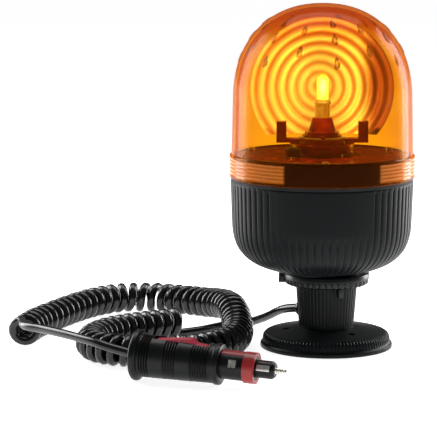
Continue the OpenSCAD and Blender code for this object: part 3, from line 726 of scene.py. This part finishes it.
def dome_outline(inset, steps):
    """The dome's section from its foot to its crown, set in by that much."""
    points = []
    for i in range(steps + 1):
        u = math.sin(math.pi / 2 * i / steps)
        z = CROWN_Z - DOME_ROUND + (DOME_ROUND - inset) * u
        points.append((dome_radius(z, inset) if i < steps else 0.0, z))
    return points


class BEACON_OT_lens(bpy.types.Operator):
    """Builds the amber lens with its ribbed collar and raised drops"""

    bl_idname = "beacon.lens"
    bl_label = "Lens"

    def execute(self, context):
        lens = context.scene.beacon_lens
        neck = COLLAR_R - 3.0
        top = COLLAR_Z + COLLAR_H
        outline = [(neck, COLLAR_Z), (COLLAR_R - 0.7, COLLAR_Z), (COLLAR_R - 0.2, COLLAR_Z + 0.3)]
        outline += [(COLLAR_R, COLLAR_Z + 0.9 + 0.5 * i) for i in range(29)]
        outline += [(COLLAR_R - 0.25, top - 1.0), (COLLAR_R - 0.8, top - 0.4), (COLLAR_R - 1.4, top)]
        outline += [(COLLAR_R - 1.4 - i / 6, top + 38 * i / 6) for i in range(1, 6)]
        outline += dome_outline(0, 112)
        outline += dome_outline(LENS_WALL, 40)[::-1]
        outline += [(neck - 1.2, top + 2), (neck, top)]
        bm = bmesh.new()
        turned(bm, outline, 384)
        thickness_and_painted_shade = bm.verts.layers.float.new("thickness_and_painted_shade")
        ribbed = bm.verts.layers.float.new("ribbed")
        long, wide, high = lens.drop_length / MM, lens.drop_width / MM, lens.drop_height / MM
        pitch = 2 * math.pi / lens.drops_per_ring
        for v in bm.verts:
            r, z = math.hypot(v.co.x, v.co.y) / MM, v.co.z / MM
            if r < 1e-6:
                continue
            around = math.degrees(math.atan2(v.co.x, -v.co.y))
            push = 0.0
            if z < top - 1.2 and r > COLLAR_R - 0.15:
                panel = smooth(-27, -25, around) * (1 - smooth(34, 36, around))
                wave = 0.5 - 0.5 * math.cos(2 * math.pi * (z - COLLAR_Z - 2.2) / 2.5)
                inside = smooth(COLLAR_Z + 1.8, COLLAR_Z + 2.4, z) * (1 - smooth(top - 2.8, top - 2.2, z))
                push = -lens.rib_depth / MM * wave * inside * (1 - panel)
                # Mask of the collar ribs, which carries their painted glow and sheen
                v[ribbed] = inside * (1 - panel) * (0.75 + 0.25 * wave)
                # Painted shade: the smooth front panel of the collar gets a deep red tint
                v[thickness_and_painted_shade] = 0.85 * panel * smooth(
                    COLLAR_Z + 0.8, COLLAR_Z + 1.6, z
                ) * (1 - smooth(top - 2.4, top - 1.6, z))
            elif z > 195 and r > dome_radius(z) - 0.4:
                for height, phase in DROP_RINGS:
                    if abs(z - height) > long:
                        continue
                    slope = math.hypot(dome_radius(height + 1) - dome_radius(height - 1), 2) / 2
                    s = (z - height) * slope
                    if not -long / 2 < s < long / 2:
                        continue
                    t = s / long + 0.5
                    half = wide / 2 * math.sin(math.pi * t**0.62) ** 0.9
                    turn = math.radians(around - DROP_TURN) / pitch - phase
                    off = abs(turn - round(turn)) * pitch * r
                    if off < half:
                        rise = (1 - (off / half) ** 2) ** 0.6 * min(1.0, 3.2 * (1 - t))
                        push = high * rise
                        # Deeper tint across the drop for its thickness, with painted shade darkest at its outline
                        v[thickness_and_painted_shade] = min(1.0, 1.3 - 0.8 * rise)
            if push:
                if push > 0:
                    up = smooth(200, 246, z)
                    v.co.z += push * up * MM
                scale = (r + push * (1 - 0.5 * smooth(200, 246, z) if push > 0 else 1)) / r
                v.co.x *= scale
                v.co.y *= scale
        piece("amber_lens", bm, "amber", "lens", ["lens_dome"], 50)
        return {"FINISHED"}


# ---- Cup, stem, lock ring and foot ----

CUP_ROUND = 40
CUP_WALL = 2.6
STEM_LOW_R = 19.6
STEM_HIGH_R = 22
LOCK_H = 8.2
SCREW_TURNS = (186, 306, 66)
SCREW_CIRCLE = 29


class BEACON_OT_cup(bpy.types.Operator):
    """Builds the fluted cup with its smooth front panel"""

    bl_idname = "beacon.cup"
    bl_label = "Cup"

    def execute(self, context):
        body = context.scene.beacon_body
        floor, rim = LOCK_Z + 0.2, GASKET_Z
        cup_r = COLLAR_R - 1
        neck = COLLAR_R - 3.6

        def radius(z):
            return cup_r - 0.03 * (rim - z)

        outline = [(0, floor), (14, floor), (24, floor), (28.4, floor)]
        for i in range(1, 31):
            u = math.sin(math.pi / 2 * (1 - i / 30))
            z = floor + CUP_ROUND * (1 - u)
            r = radius(z) * (1 - u**3) ** (1 / 3)
            if r > 29:
                outline.append((r, z))
        outline += [(radius(z), z) for z in (96, 98, 100, 102, 104, 106, 108, 110, 112, 114, 116, 117, 118, 119, 119.7)]
        outline += [
            (cup_r - 0.3, rim - 0.1), (cup_r - 0.8, rim), (neck, rim), (neck, rim + 18.6), (neck - 0.4, rim + 19)
        ]
        outline += [(neck - 2, rim + 19), (neck - 2.4, rim + 18.6), (neck - 2.4, CUP_Z), (neck - 7.9, CUP_Z)]
        outline += [(neck - 7.9, CUP_Z - 8), (neck - 2.4, CUP_Z - 12), (cup_r - CUP_WALL, rim - 4)]
        for i in range(12, -1, -1):
            u = math.sin(math.pi / 2 * (1 - i / 12))
            z = floor + 3.6 + CUP_ROUND * (1 - u)
            outline.append(((radius(z) - CUP_WALL) * (1 - u**3) ** (1 / 3), z))
        bm = bmesh.new()
        turned(bm, outline, body.cup_flutes * 10)
        for v in bm.verts:
            r, z = math.hypot(v.co.x, v.co.y) / MM, v.co.z / MM
            if r < 30 or z > rim - 0.6 or r < radius(max(z, floor)) * 0.4:
                continue
            u = min(1.0, max(0.0, 1 - (z - floor) / CUP_ROUND))
            if r < radius(z) * (1 - u**3) ** (1 / 3) - 0.2:
                continue
            angle = math.atan2(v.co.y, v.co.x)
            around = math.degrees(math.atan2(v.co.x, -v.co.y))
            low_edge = 84 + 5 * (abs(around) / 34) ** 4 if abs(around) < 36 else 84
            panel = (1 - smooth(31.5, 33.0, abs(around + 1))) * smooth(low_edge, low_edge + 3, z)
            run_out = smooth(31, 40, r) * (1 - 0.7 * smooth(rim - 2.4, rim - 1, z))
            depth = groove(angle, body.cup_flutes, r, body.flute_width / MM)
            crown = 0.12 * (1 - 2 * abs((angle * body.cup_flutes / 2 / math.pi) % 1 - 0.5))
            push = -(depth * body.flute_depth / MM + crown) * (1 - 0.6 * u) * run_out * (1 - panel)
            v.co.x *= (r + push) / r
            v.co.y *= (r + push) / r
            if z < floor + CUP_ROUND:
                v.co.z -= push * 0.6 * u * MM
        hub = (STEM_X, 0, 0)
        turned(bm, [(22.2, 48.7), (25.6, 48.7), (25.6, floor + 0.4), (22.2, floor + 0.4)], 96, hub)
        piece("fluted_cup", bm, "abs", "foot", ["cup_shell"], 40)
        return {"FINISHED"}


class BEACON_OT_stem(bpy.types.Operator):
    """Builds the fluted stem and the toothed lock ring around its top"""

    bl_idname = "beacon.stem"
    bl_label = "Stem and lock ring"

    def execute(self, context):
        body = context.scene.beacon_body
        hub = (STEM_X, 0, 0)
        low, high = FOOT_TOP_Z, LOCK_Z - LOCK_H
        outline = [(15, low - 2), (19, low - 2), (STEM_LOW_R, low)]
        outline += [(STEM_LOW_R + (STEM_HIGH_R - STEM_LOW_R) * i / 8, low + (high - low) * i / 8) for i in range(1, 9)]
        outline += [(STEM_HIGH_R, LOCK_Z), (15, LOCK_Z)]
        bm = bmesh.new()
        turned(bm, outline, body.stem_flutes * 10, hub)
        flute(bm, body.stem_flutes, 1.4, lambda r, z: 0.5 if r > 19 and low + 0.5 < z < high + 1 else 0)
        piece("fluted_stem", bm, "abs", "foot", ["stem"], 40)

        bm = bmesh.new()
        teeth, outer = 40, 30.6
        outline = [(22.4, high), (28.6, high), (29.0, high + 0.3), (30.0, high + 0.9), (30.2, high + 1.4)]
        outline += [
            (30.2, high + 3.4), (30.2, high + 4.0), (outer, high + 4.3), (outer, high + 7.4), (30.2, high + 8.0)
        ]
        outline += [(29.6, high + 8.2), (26, high + 8.2), (26, high + 2.2), (22.4, high + 2.2)]
        turned(bm, outline, teeth * 10, hub)
        flute(bm, teeth, 2.2, lambda r, z: 1 if r > 28 and z < high + 3.7 else 0)
        block(bm, (STEM_X - 34.3, -3, high + 0.8), (STEM_X - 29.5, 3, high + 7.2), 0.6)
        tongue = Matrix.Translation(Vector(hub) * MM) @ Matrix.Rotation(math.radians(-68), 4, "Z")
        block(bm, (22.5, -1.8, high - 7.4), (24.9, 1.8, high + 0.9), 0.4, tongue)
        piece("toothed_lock_ring", bm, "abs_smooth", "lock_collar", ["lock_ring"], 35)
        return {"FINISHED"}


class BEACON_OT_foot(bpy.types.Operator):
    """Builds the round foot cover with its scalloped edge and screw holes"""

    bl_idname = "beacon.foot"
    bl_label = "Foot cover"

    def execute(self, context):
        body = context.scene.beacon_body
        hub = (STEM_X, 0, 0)
        outline = [(15.6, 9.2), (43.1, 9.2), (43.1, 0.5), (FOOT_R - 0.2, 0.5), (FOOT_R, 0.8), (FOOT_R, 2.4)]
        outline += [
            (FOOT_R - 0.2, 3.2), (FOOT_R - 0.8, 3.6), (FOOT_R - 1.4, 4.2), (45.75, 5.4), (45.6, 6.6), (45.4, 7.8)
        ]
        outline += [(45.1, 8.8), (44.6, 9.6), (43.8, 10.3), (42.9, 10.8), (41.6, 11.1), (40, 11.35)]
        outline += [(36, 12.0), (32, 12.7), (28, 13.4), (24, 14.15), (21.6, FOOT_TOP_Z), (15.6, FOOT_TOP_Z)]
        bm = bmesh.new()
        turned(bm, outline, body.foot_flutes * 6, hub)

        def edge_depth(r, z):
            return 0.7 * smooth(4.2, 6.5, z) * smooth(41, 43, r) if 41 < r < 45.9 and z > 4.1 else 0

        flute(bm, body.foot_flutes, 1.5, edge_depth)
        obj = piece("foot_cover_moulding", bm, "abs", "foot", ["foot_cover"], 40)
        cutter = bmesh.new()
        for turn in SCREW_TURNS:
            a = math.radians(turn)
            at = Vector((STEM_X + SCREW_CIRCLE * math.cos(a), SCREW_CIRCLE * math.sin(a), 15.6)) * MM
            bmesh.ops.create_cone(
                cutter, cap_ends=True, segments=32, radius1=2.4 * MM, radius2=2.4 * MM, depth=10 * MM,
                matrix=Matrix.Translation(at),
            )
        cut(obj, cutter)
        return {"FINISHED"}


# ---- Reflector ----


class BEACON_OT_reflector(bpy.types.Operator):
    """Builds the dish with its pressed rings"""

    bl_idname = "beacon.reflector"
    bl_label = "Reflector"

    def execute(self, context):
        lamp = context.scene.beacon_lamp
        pitch, depth = lamp.ring_pitch / MM, lamp.ring_depth / MM
        focus = DISH_BACK_Y
        face = []
        for i in range(121):
            r = (DISH_R - 0.6) * i / 120
            wave = 0.5 - 0.5 * math.cos(2 * math.pi * r / pitch)
            face.append((r, DISH_BACK_Y - r * r / (4 * focus) - depth * wave))
        r = DISH_R
        edge = DISH_BACK_Y - r * r / (4 * focus)
        face += [(r - 0.15, edge - 0.2), (r, edge + 0.3), (r - 0.1, edge + 1.3)]
        back = [((DISH_R - 1) * i / 24, DISH_BACK_Y - ((DISH_R - 1) * i / 24) ** 2 / (4 * focus) + DISH_SHEET) for i in range(25)]
        bm = bmesh.new()
        turned(bm, face + back[::-1], 160, (0, 0, DISH_TOP_Z - DISH_R), (0, 1, 0))
        bmesh.ops.bisect_plane(
            bm, geom=bm.verts[:] + bm.edges[:] + bm.faces[:], plane_co=(0, 0, DISH_TRIM_Z * MM), plane_no=(0, 0, -1), clear_outer=True
        )
        open_edges = [e for e in bm.edges if e.is_boundary]
        bmesh.ops.holes_fill(bm, edges=open_edges, sides=0)
        # Marks the polished face, the only side that gets the dish's painted lamp glow
        polished = bm.verts.layers.float.new("polished")
        for v in bm.verts:
            x, y, z = v.co.x / MM, v.co.y / MM, v.co.z / MM - (DISH_TOP_Z - DISH_R)
            v[polished] = 1.0 if y < DISH_BACK_Y - (x * x + z * z) / (4 * focus) + 0.4 else 0.0
        piece("ringed_dish", bm, "dish", "rotor", ["reflector"], 60)
        return {"FINISHED"}


# ---- Plug ----

# The switch along the plug, and the height of its hinge pin over the axis
SWITCH_AT = 34
SWITCH_PIN_Z = 8.6


class BEACON_OT_plug(bpy.types.Operator):
    """Builds the plug's ribbed grip, its flange, the red switch and the stepped tip"""

    bl_idname = "beacon.plug"
    bl_label = "Plug"

    def execute(self, context):
        plug = context.scene.beacon_plug
        along = (1, 0, 0)

        bm = bmesh.new()
        outline = [(0, 0.2), (6, 0), (12, 0.05), (15.2, 0.5), (16.4, 1.0), (17.0, 1.7), (17.2, 2.6), (17.2, 3.4)]
        outline += [(17.0, 4.3), (16.4, 5.1), (15.6, 5.6), (14.9, 6.0), (0, 6.0)]
        turned(bm, outline, 96, (0, 0, 0), along, PLUG)
        piece("plug_flange_moulding", bm, "nylon", "foot", ["plug_flange"], 40)

        zones = ((7.0, 14.2), (24.0, 33.0), (42.8, 55.4))
        pitch, depth = plug.rib_pitch / MM, plug.rib_depth / MM
        outer = []
        x = 6.05
        while x < 57.4:
            r = 14.5 - 1.5 * (x - 6) / 56
            for low, high in zones:
                if low < x < high:
                    r -= depth * (0.5 - 0.5 * math.cos(2 * math.pi * (x - low) / pitch))
            outer.append((r, x))
            x += 0.3
        outer += [(13.1, 57.7), (13.5, 58.0), (13.8, 58.5), (13.8, 60.8), (13.6, 61.5), (13.0, 61.95), (7.8, 62)]
        outline = [(5.2, 6.05)] + outer + [(7.7, 54.2), (5.2, 54)]
        bm = bmesh.new()
        turned(bm, outline, 112, (0, 0, 0), along)
        bmesh.ops.transform(bm, matrix=PLUG, verts=bm.verts)
        grip = piece("plug_grip_moulding", bm, "nylon", "foot", ["plug_grip"], 40)
        cutter = bmesh.new()
        made = bmesh.ops.create_cube(cutter, size=1.0)["verts"]
        bmesh.ops.transform(
            cutter,
            matrix=PLUG @ Matrix.Translation(Vector((SWITCH_AT, 0, 13.4)) * MM) @ Matrix.Diagonal((39.2 * MM, 9.8 * MM, 12 * MM, 1)),
            verts=made,
        )
        cut(grip, cutter)

        bm = bmesh.new()
        side = [
            (-18.5, 10.2),
            (-3, 7.8),
            (3, 7.8),
            (18, 10.2),
            (18, 11.4),
            (10, 12.2),
            (6.5, 15.3),
            (1, 14.7),
            (-18.5, 12.4),
        ]
        corners = [bm.verts.new(Vector((SWITCH_AT + x, -4.5, z)) * MM) for x, z in side]
        face = bm.faces.new(corners)
        moved = bmesh.ops.extrude_face_region(bm, geom=[face])["geom"]
        bmesh.ops.translate(bm, vec=(0, 9 * MM, 0), verts=[g for g in moved if isinstance(g, bmesh.types.BMVert)])
        bmesh.ops.recalc_face_normals(bm, faces=bm.faces)
        bmesh.ops.bevel(
            bm, geom=bm.edges[:], offset=0.55 * MM, offset_type="OFFSET", segments=3, profile=0.5, affect="EDGES", material=-1
        )
        bmesh.ops.transform(bm, matrix=PLUG, verts=bm.verts)
        wedge = piece("switch_wedge", bm, "crimson", "rocker", ["switch_rocker"], 40)
        # The bore that the hinge pin runs through
        cutter = bmesh.new()
        bmesh.ops.create_cone(
            cutter, cap_ends=True, segments=48, radius1=1.08 * MM, radius2=1.08 * MM, depth=14 * MM,
            matrix=PLUG @ Matrix.Translation(Vector((SWITCH_AT, 0, SWITCH_PIN_Z)) * MM) @ Matrix.Rotation(math.pi / 2, 4, "X"),
        )
        cut(wedge, cutter)

        bm = bmesh.new()
        outline = [(0, 90.5), (3, 90.5), (3, 95.8), (2.2, 95.9), (2.2, 99.4), (2.05, 99.7)]
        for i in range(3):
            x = 100.0 + 1.5 * i
            outline += [(1.5, x), (1.5, x + 0.3), (2.2 - 0.05 * i, x + 0.5), (2.2 - 0.05 * i, x + 1.2)]
        outline += [
            (1.4, 104.7), (1.4, 105.1), (2.0, 105.4), (2.15, 106.1), (1.9, 106.7), (1.1, 107.05), (0, 107.15)
        ]
        turned(bm, outline, 32, (0, 0, 0), along, PLUG)
        piece("stepped_tip", bm, "nickel", "tip", ["plug_tip_pin"], 35)
        return {"FINISHED"}


# ---- Cord ----

# The route of the coil's middle line from the plug's end to the stem's end, the lead out of the
# stem and the tail into the plug, in millimetres, as the solid model has them
COIL_ROUTE = (
    (-214, -8, 11.7), (-207, 24, 11.7), (-196, 52, 11.7), (-184, 80, 11.7), (-168, 108, 11.7),
    (-148, 126, 11.7), (-124, 127, 11.7), (-101, 115, 12), (-82, 94, 14), (-69, 68, 17.5), (-63, 42, 18.2),
    (-60, 16, 14.5), (-60, -11, 12), (-64, -36, 11.7), (-76, -58, 11.7), (-96, -71, 11.7), (-120, -74, 11.7),
    (-144, -70, 11.7), (-160, -54, 11.7), (-162, -33, 11.7), (-153, -12, 11.7), (-138, 4, 11.7),
    (-119, 17, 11.7), (-101, 29, 11.7),
)
# The lead leaves the stem through the grommet
LEAD_START = (3.8 - (20.47 + 1.85) * math.cos(math.radians(26)), 22.32 * math.sin(math.radians(26)), 26)
LEAD_ROUTE = (
    (-27, 24, 22), (-38, 43, 13), (-48, 60, 6), (-58, 65, 3.3), (-67, 59, 3.3), (-76, 50, 3.3), (-87, 39, 3.3),
)
TAIL_ROUTE = ((-210, -28, 20.2), (-196, -46, 21.5), (-177, -71, 22.5), (-158, -95, 22.5), (-147, -103, 20.5))


def coil_points(radius, pitch, steps):
    """Points along the curly part, wound at that radius around the route, from the stem's end to the plug's."""
    spine = curve_through(COIL_ROUTE[::-1], 40)
    marks = [0.0]
    for a, b in zip(spine, spine[1:]):
        marks.append(marks[-1] + (b - a).length)
    total = marks[-1]

    def winding(s):
        ends = 0.9 * math.exp(-s / 5) + 1.2 * math.exp(-(total - s) / 5)
        return (1.22 - 0.22 * smooth(0.3, 0.5, s / total)) / (1 + ends)

    count = 6000
    angle = [0.0]
    for i in range(count):
        angle.append(angle[-1] + winding(total * (i + 0.5) / count) * total / count)
    turns = round(angle[-1] / pitch - 0.5) + 0.5
    out = []
    amount = int(turns * steps)
    j = k = 0
    for i in range(amount + 1):
        want = angle[-1] * i / amount
        while k < count - 1 and angle[k + 1] < want:
            k += 1
        s = total * (k + (want - angle[k]) / (angle[k + 1] - angle[k])) / count
        while j < len(marks) - 2 and marks[j + 1] < s:
            j += 1
        t = (s - marks[j]) / (marks[j + 1] - marks[j])
        at = spine[j].lerp(spine[j + 1], min(1.0, t))
        ahead = (spine[min(j + 2, len(spine) - 1)] - spine[max(j - 1, 0)]).normalized()
        side = ahead.cross(Vector((0, 0, 1))).normalized()
        up = side.cross(ahead)
        phase = -math.pi / 2 + 2 * math.pi * turns * i / amount
        out.append(at + side * (radius * math.cos(phase)) + up * (radius * math.sin(phase)))
    return out


class BEACON_OT_cord(bpy.types.Operator):
    """Builds the curly cord from the stem to the plug"""

    bl_idname = "beacon.cord"
    bl_label = "Cord"

    def execute(self, context):
        cord = context.scene.beacon_cord
        turn_r = (cord.coil - cord.diameter) / 2 / MM
        coil = coil_points(turn_r, cord.pitch / MM, 18)
        axis = PLUG.to_3x3() @ Vector((1, 0, 0))
        lead = curve_through([LEAD_START, *LEAD_ROUTE, coil[0]], 8)
        tail = curve_through([coil[-1], *TAIL_ROUTE, Vector(PLUG_POS) - axis * 0.05], 8)
        points = lead[:-1] + coil + tail[1:]
        data = bpy.data.curves.new("curly_cord", "CURVE")
        data.dimensions = "3D"
        data.bevel_depth = cord.diameter / 2
        data.bevel_resolution = 2
        data.use_fill_caps = True
        line = data.splines.new("POLY")
        line.points.add(len(points) - 1)
        for p, q in zip(line.points, points):
            p.co = (*(q * MM), 1)
        obj = bpy.data.objects.new("curly_cord", data)
        context.scene.collection.objects.link(obj)
        data.materials.append(MATERIALS["pvc"])
        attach(obj, "foot")
        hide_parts("cord_lead", "cord_coil", "cord_tail")
        length = sum((b - a).length for a, b in zip(points, points[1:])) * MM
        print("cord length", round(length, 3), "points", len(points))
        return {"FINISHED"}


# ---- Finishes on the solid model's own parts ----


class BEACON_OT_finishes(bpy.types.Operator):
    """Gives each part of the solid model that stays in view its finish"""

    bl_idname = "beacon.finishes"
    bl_label = "Finishes"

    def execute(self, context):
        for node, key in CAD_FINISH.items():
            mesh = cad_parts[node].data
            if not mesh.materials:
                mesh.materials.append(MATERIALS[key])
            for i in range(len(mesh.materials)):
                mesh.materials[i] = MATERIALS[key]
        return {"FINISHED"}


# ---- Stage ----


def area(name, at, aim, size, power):
    """A white softbox at a place, turned towards another."""
    light = bpy.data.lights.new(name, "AREA")
    light.shape, light.size, light.size_y = "RECTANGLE", size[0], size[1]
    light.energy = power
    obj = bpy.data.objects.new(name, light)
    bpy.context.scene.collection.objects.link(obj)
    obj.location = at
    obj.rotation_euler = (Vector(aim) - Vector(at)).to_track_quat("-Z", "Y").to_euler()


class BEACON_OT_stage(bpy.types.Operator):
    """Builds the pale floor, the soft lights and the camera"""

    bl_idname = "beacon.stage"
    bl_label = "Stage"

    def execute(self, context):
        scene = context.scene
        stage = scene.beacon_stage
        scene.view_settings.view_transform = "Standard"

        bm = bmesh.new()
        bmesh.ops.create_grid(bm, x_segments=2, y_segments=2, size=9.0)
        mesh = bpy.data.meshes.new("studio_floor")
        bm.to_mesh(mesh)
        bm.free()
        floor = bpy.data.objects.new("studio_floor", mesh)
        scene.collection.objects.link(floor)
        material, tree, out = blank("white paper")
        place = add(tree, "ShaderNodeTexCoord").outputs["Object"]
        cloud = add(tree, "ShaderNodeTexNoise", {"Scale": 2.0}, {"Vector": place})
        tone = add(
            tree,
            "ShaderNodeMix",
            {"data_type": "RGBA", 6: linear("#F6F6F6"), 7: linear("#FAFAFA")},
            {0: cloud.outputs[0]},
        )
        depth = add(tree, "ShaderNodeSeparateXYZ", None, {0: place})
        ramp = add(
            tree,
            "ShaderNodeMapRange",
            {
                "interpolation_type": "SMOOTHSTEP",
                "From Min": -0.46,
                "From Max": -0.26,
                "To Min": 0.25,
                "To Max": 0.86,
            },
            {"Value": depth.outputs[1]},
        )
        shader = add(
            tree,
            "ShaderNodeBsdfPrincipled",
            {"Roughness": 0.9, "Specular IOR Level": 0.1, "Emission Color": (1, 1, 1, 1)},
            {"Base Color": tone.outputs[2], "Emission Strength": ramp.outputs[0]},
        )
        tree.links.new(shader.outputs[0], out.inputs[0])
        mesh.materials.append(material)

        world = bpy.data.worlds.new("studio")
        world.use_nodes = True
        world.node_tree.nodes["Background"].inputs[0].default_value = (1, 1, 1, 1)
        world.node_tree.nodes["Background"].inputs[1].default_value = 0.14
        scene.world = world

        area("left_softbox", (-0.88, 0.56, 0.42), (0, 0, 0.15), (0.45, 0.95), stage.key)
        area("right_softbox", (0.85, 0.62, 0.42), (0, 0, 0.15), (0.4, 0.9), stage.key * 1.15)
        area("top_softbox", (0.0, 0.5, 1.5), (0, 0, 0.1), (1.4, 0.9), stage.key * 1.35)

        lamp = bpy.data.lights.new("lamp_glow", "POINT")
        lamp.energy = 0.12
        lamp.color = scene.beacon_lamp.warm[:3]
        lamp.shadow_soft_size = 0.004
        glow = bpy.data.objects.new("lamp_glow", lamp)
        scene.collection.objects.link(glow)
        glow.location = (0, -0.012, 0.187)

        camera = bpy.data.objects.new("camera", bpy.data.cameras.new("camera"))
        scene.collection.objects.link(camera)
        camera.data.lens = stage.focal
        camera.data.sensor_width = 36
        camera.data.clip_start, camera.data.clip_end = 0.05, 60
        camera.location = (-0.0736, -stage.distance, stage.height)
        camera.rotation_euler = (math.radians(90 - 8.645), 0, 0)
        scene.camera = camera
        return {"FINISHED"}


class BEACON_PT_panel(bpy.types.Panel):
    """Lists the beacon's pieces in the sidebar"""

    bl_idname = "BEACON_PT_panel"
    bl_label = "Rotating beacon"
    bl_space_type = "VIEW_3D"
    bl_region_type = "UI"
    bl_category = "Beacon"

    def draw(self, context):
        for kind in STEPS:
            self.layout.operator(kind.bl_idname)
        for group in ("beacon_lens", "beacon_body", "beacon_lamp", "beacon_cord", "beacon_plug", "beacon_stage"):
            settings = getattr(context.scene, group)
            box = self.layout.box()
            for name in settings.bl_rna.properties.keys():
                if name not in ("rna_type", "name"):
                    box.prop(settings, name)


SETTINGS = {
    "beacon_lens": BeaconLensSettings,
    "beacon_body": BeaconBodySettings,
    "beacon_lamp": BeaconLampSettings,
    "beacon_cord": BeaconCordSettings,
    "beacon_plug": BeaconPlugSettings,
    "beacon_stage": BeaconStageSettings,
}
STEPS = (
    BEACON_OT_stage,
    BEACON_OT_plug,
    BEACON_OT_cord,
    BEACON_OT_foot,
    BEACON_OT_stem,
    BEACON_OT_cup,
    BEACON_OT_lens,
    BEACON_OT_reflector,
    BEACON_OT_finishes,
)
CLASSES = (*SETTINGS.values(), *STEPS, BEACON_PT_panel)


def register():
    for kind in CLASSES:
        bpy.utils.register_class(kind)
    for name, kind in SETTINGS.items():
        setattr(bpy.types.Scene, name, PointerProperty(type=kind))


def unregister():
    for name in SETTINGS:
        delattr(bpy.types.Scene, name)
    for kind in reversed(CLASSES):
        bpy.utils.unregister_class(kind)


def main():
    register()
    make_materials(bpy.context.scene)
    for step in STEPS:
        group, name = step.bl_idname.split(".")
        getattr(getattr(bpy.ops, group), name)()


if __name__ == "__main__":
    main()
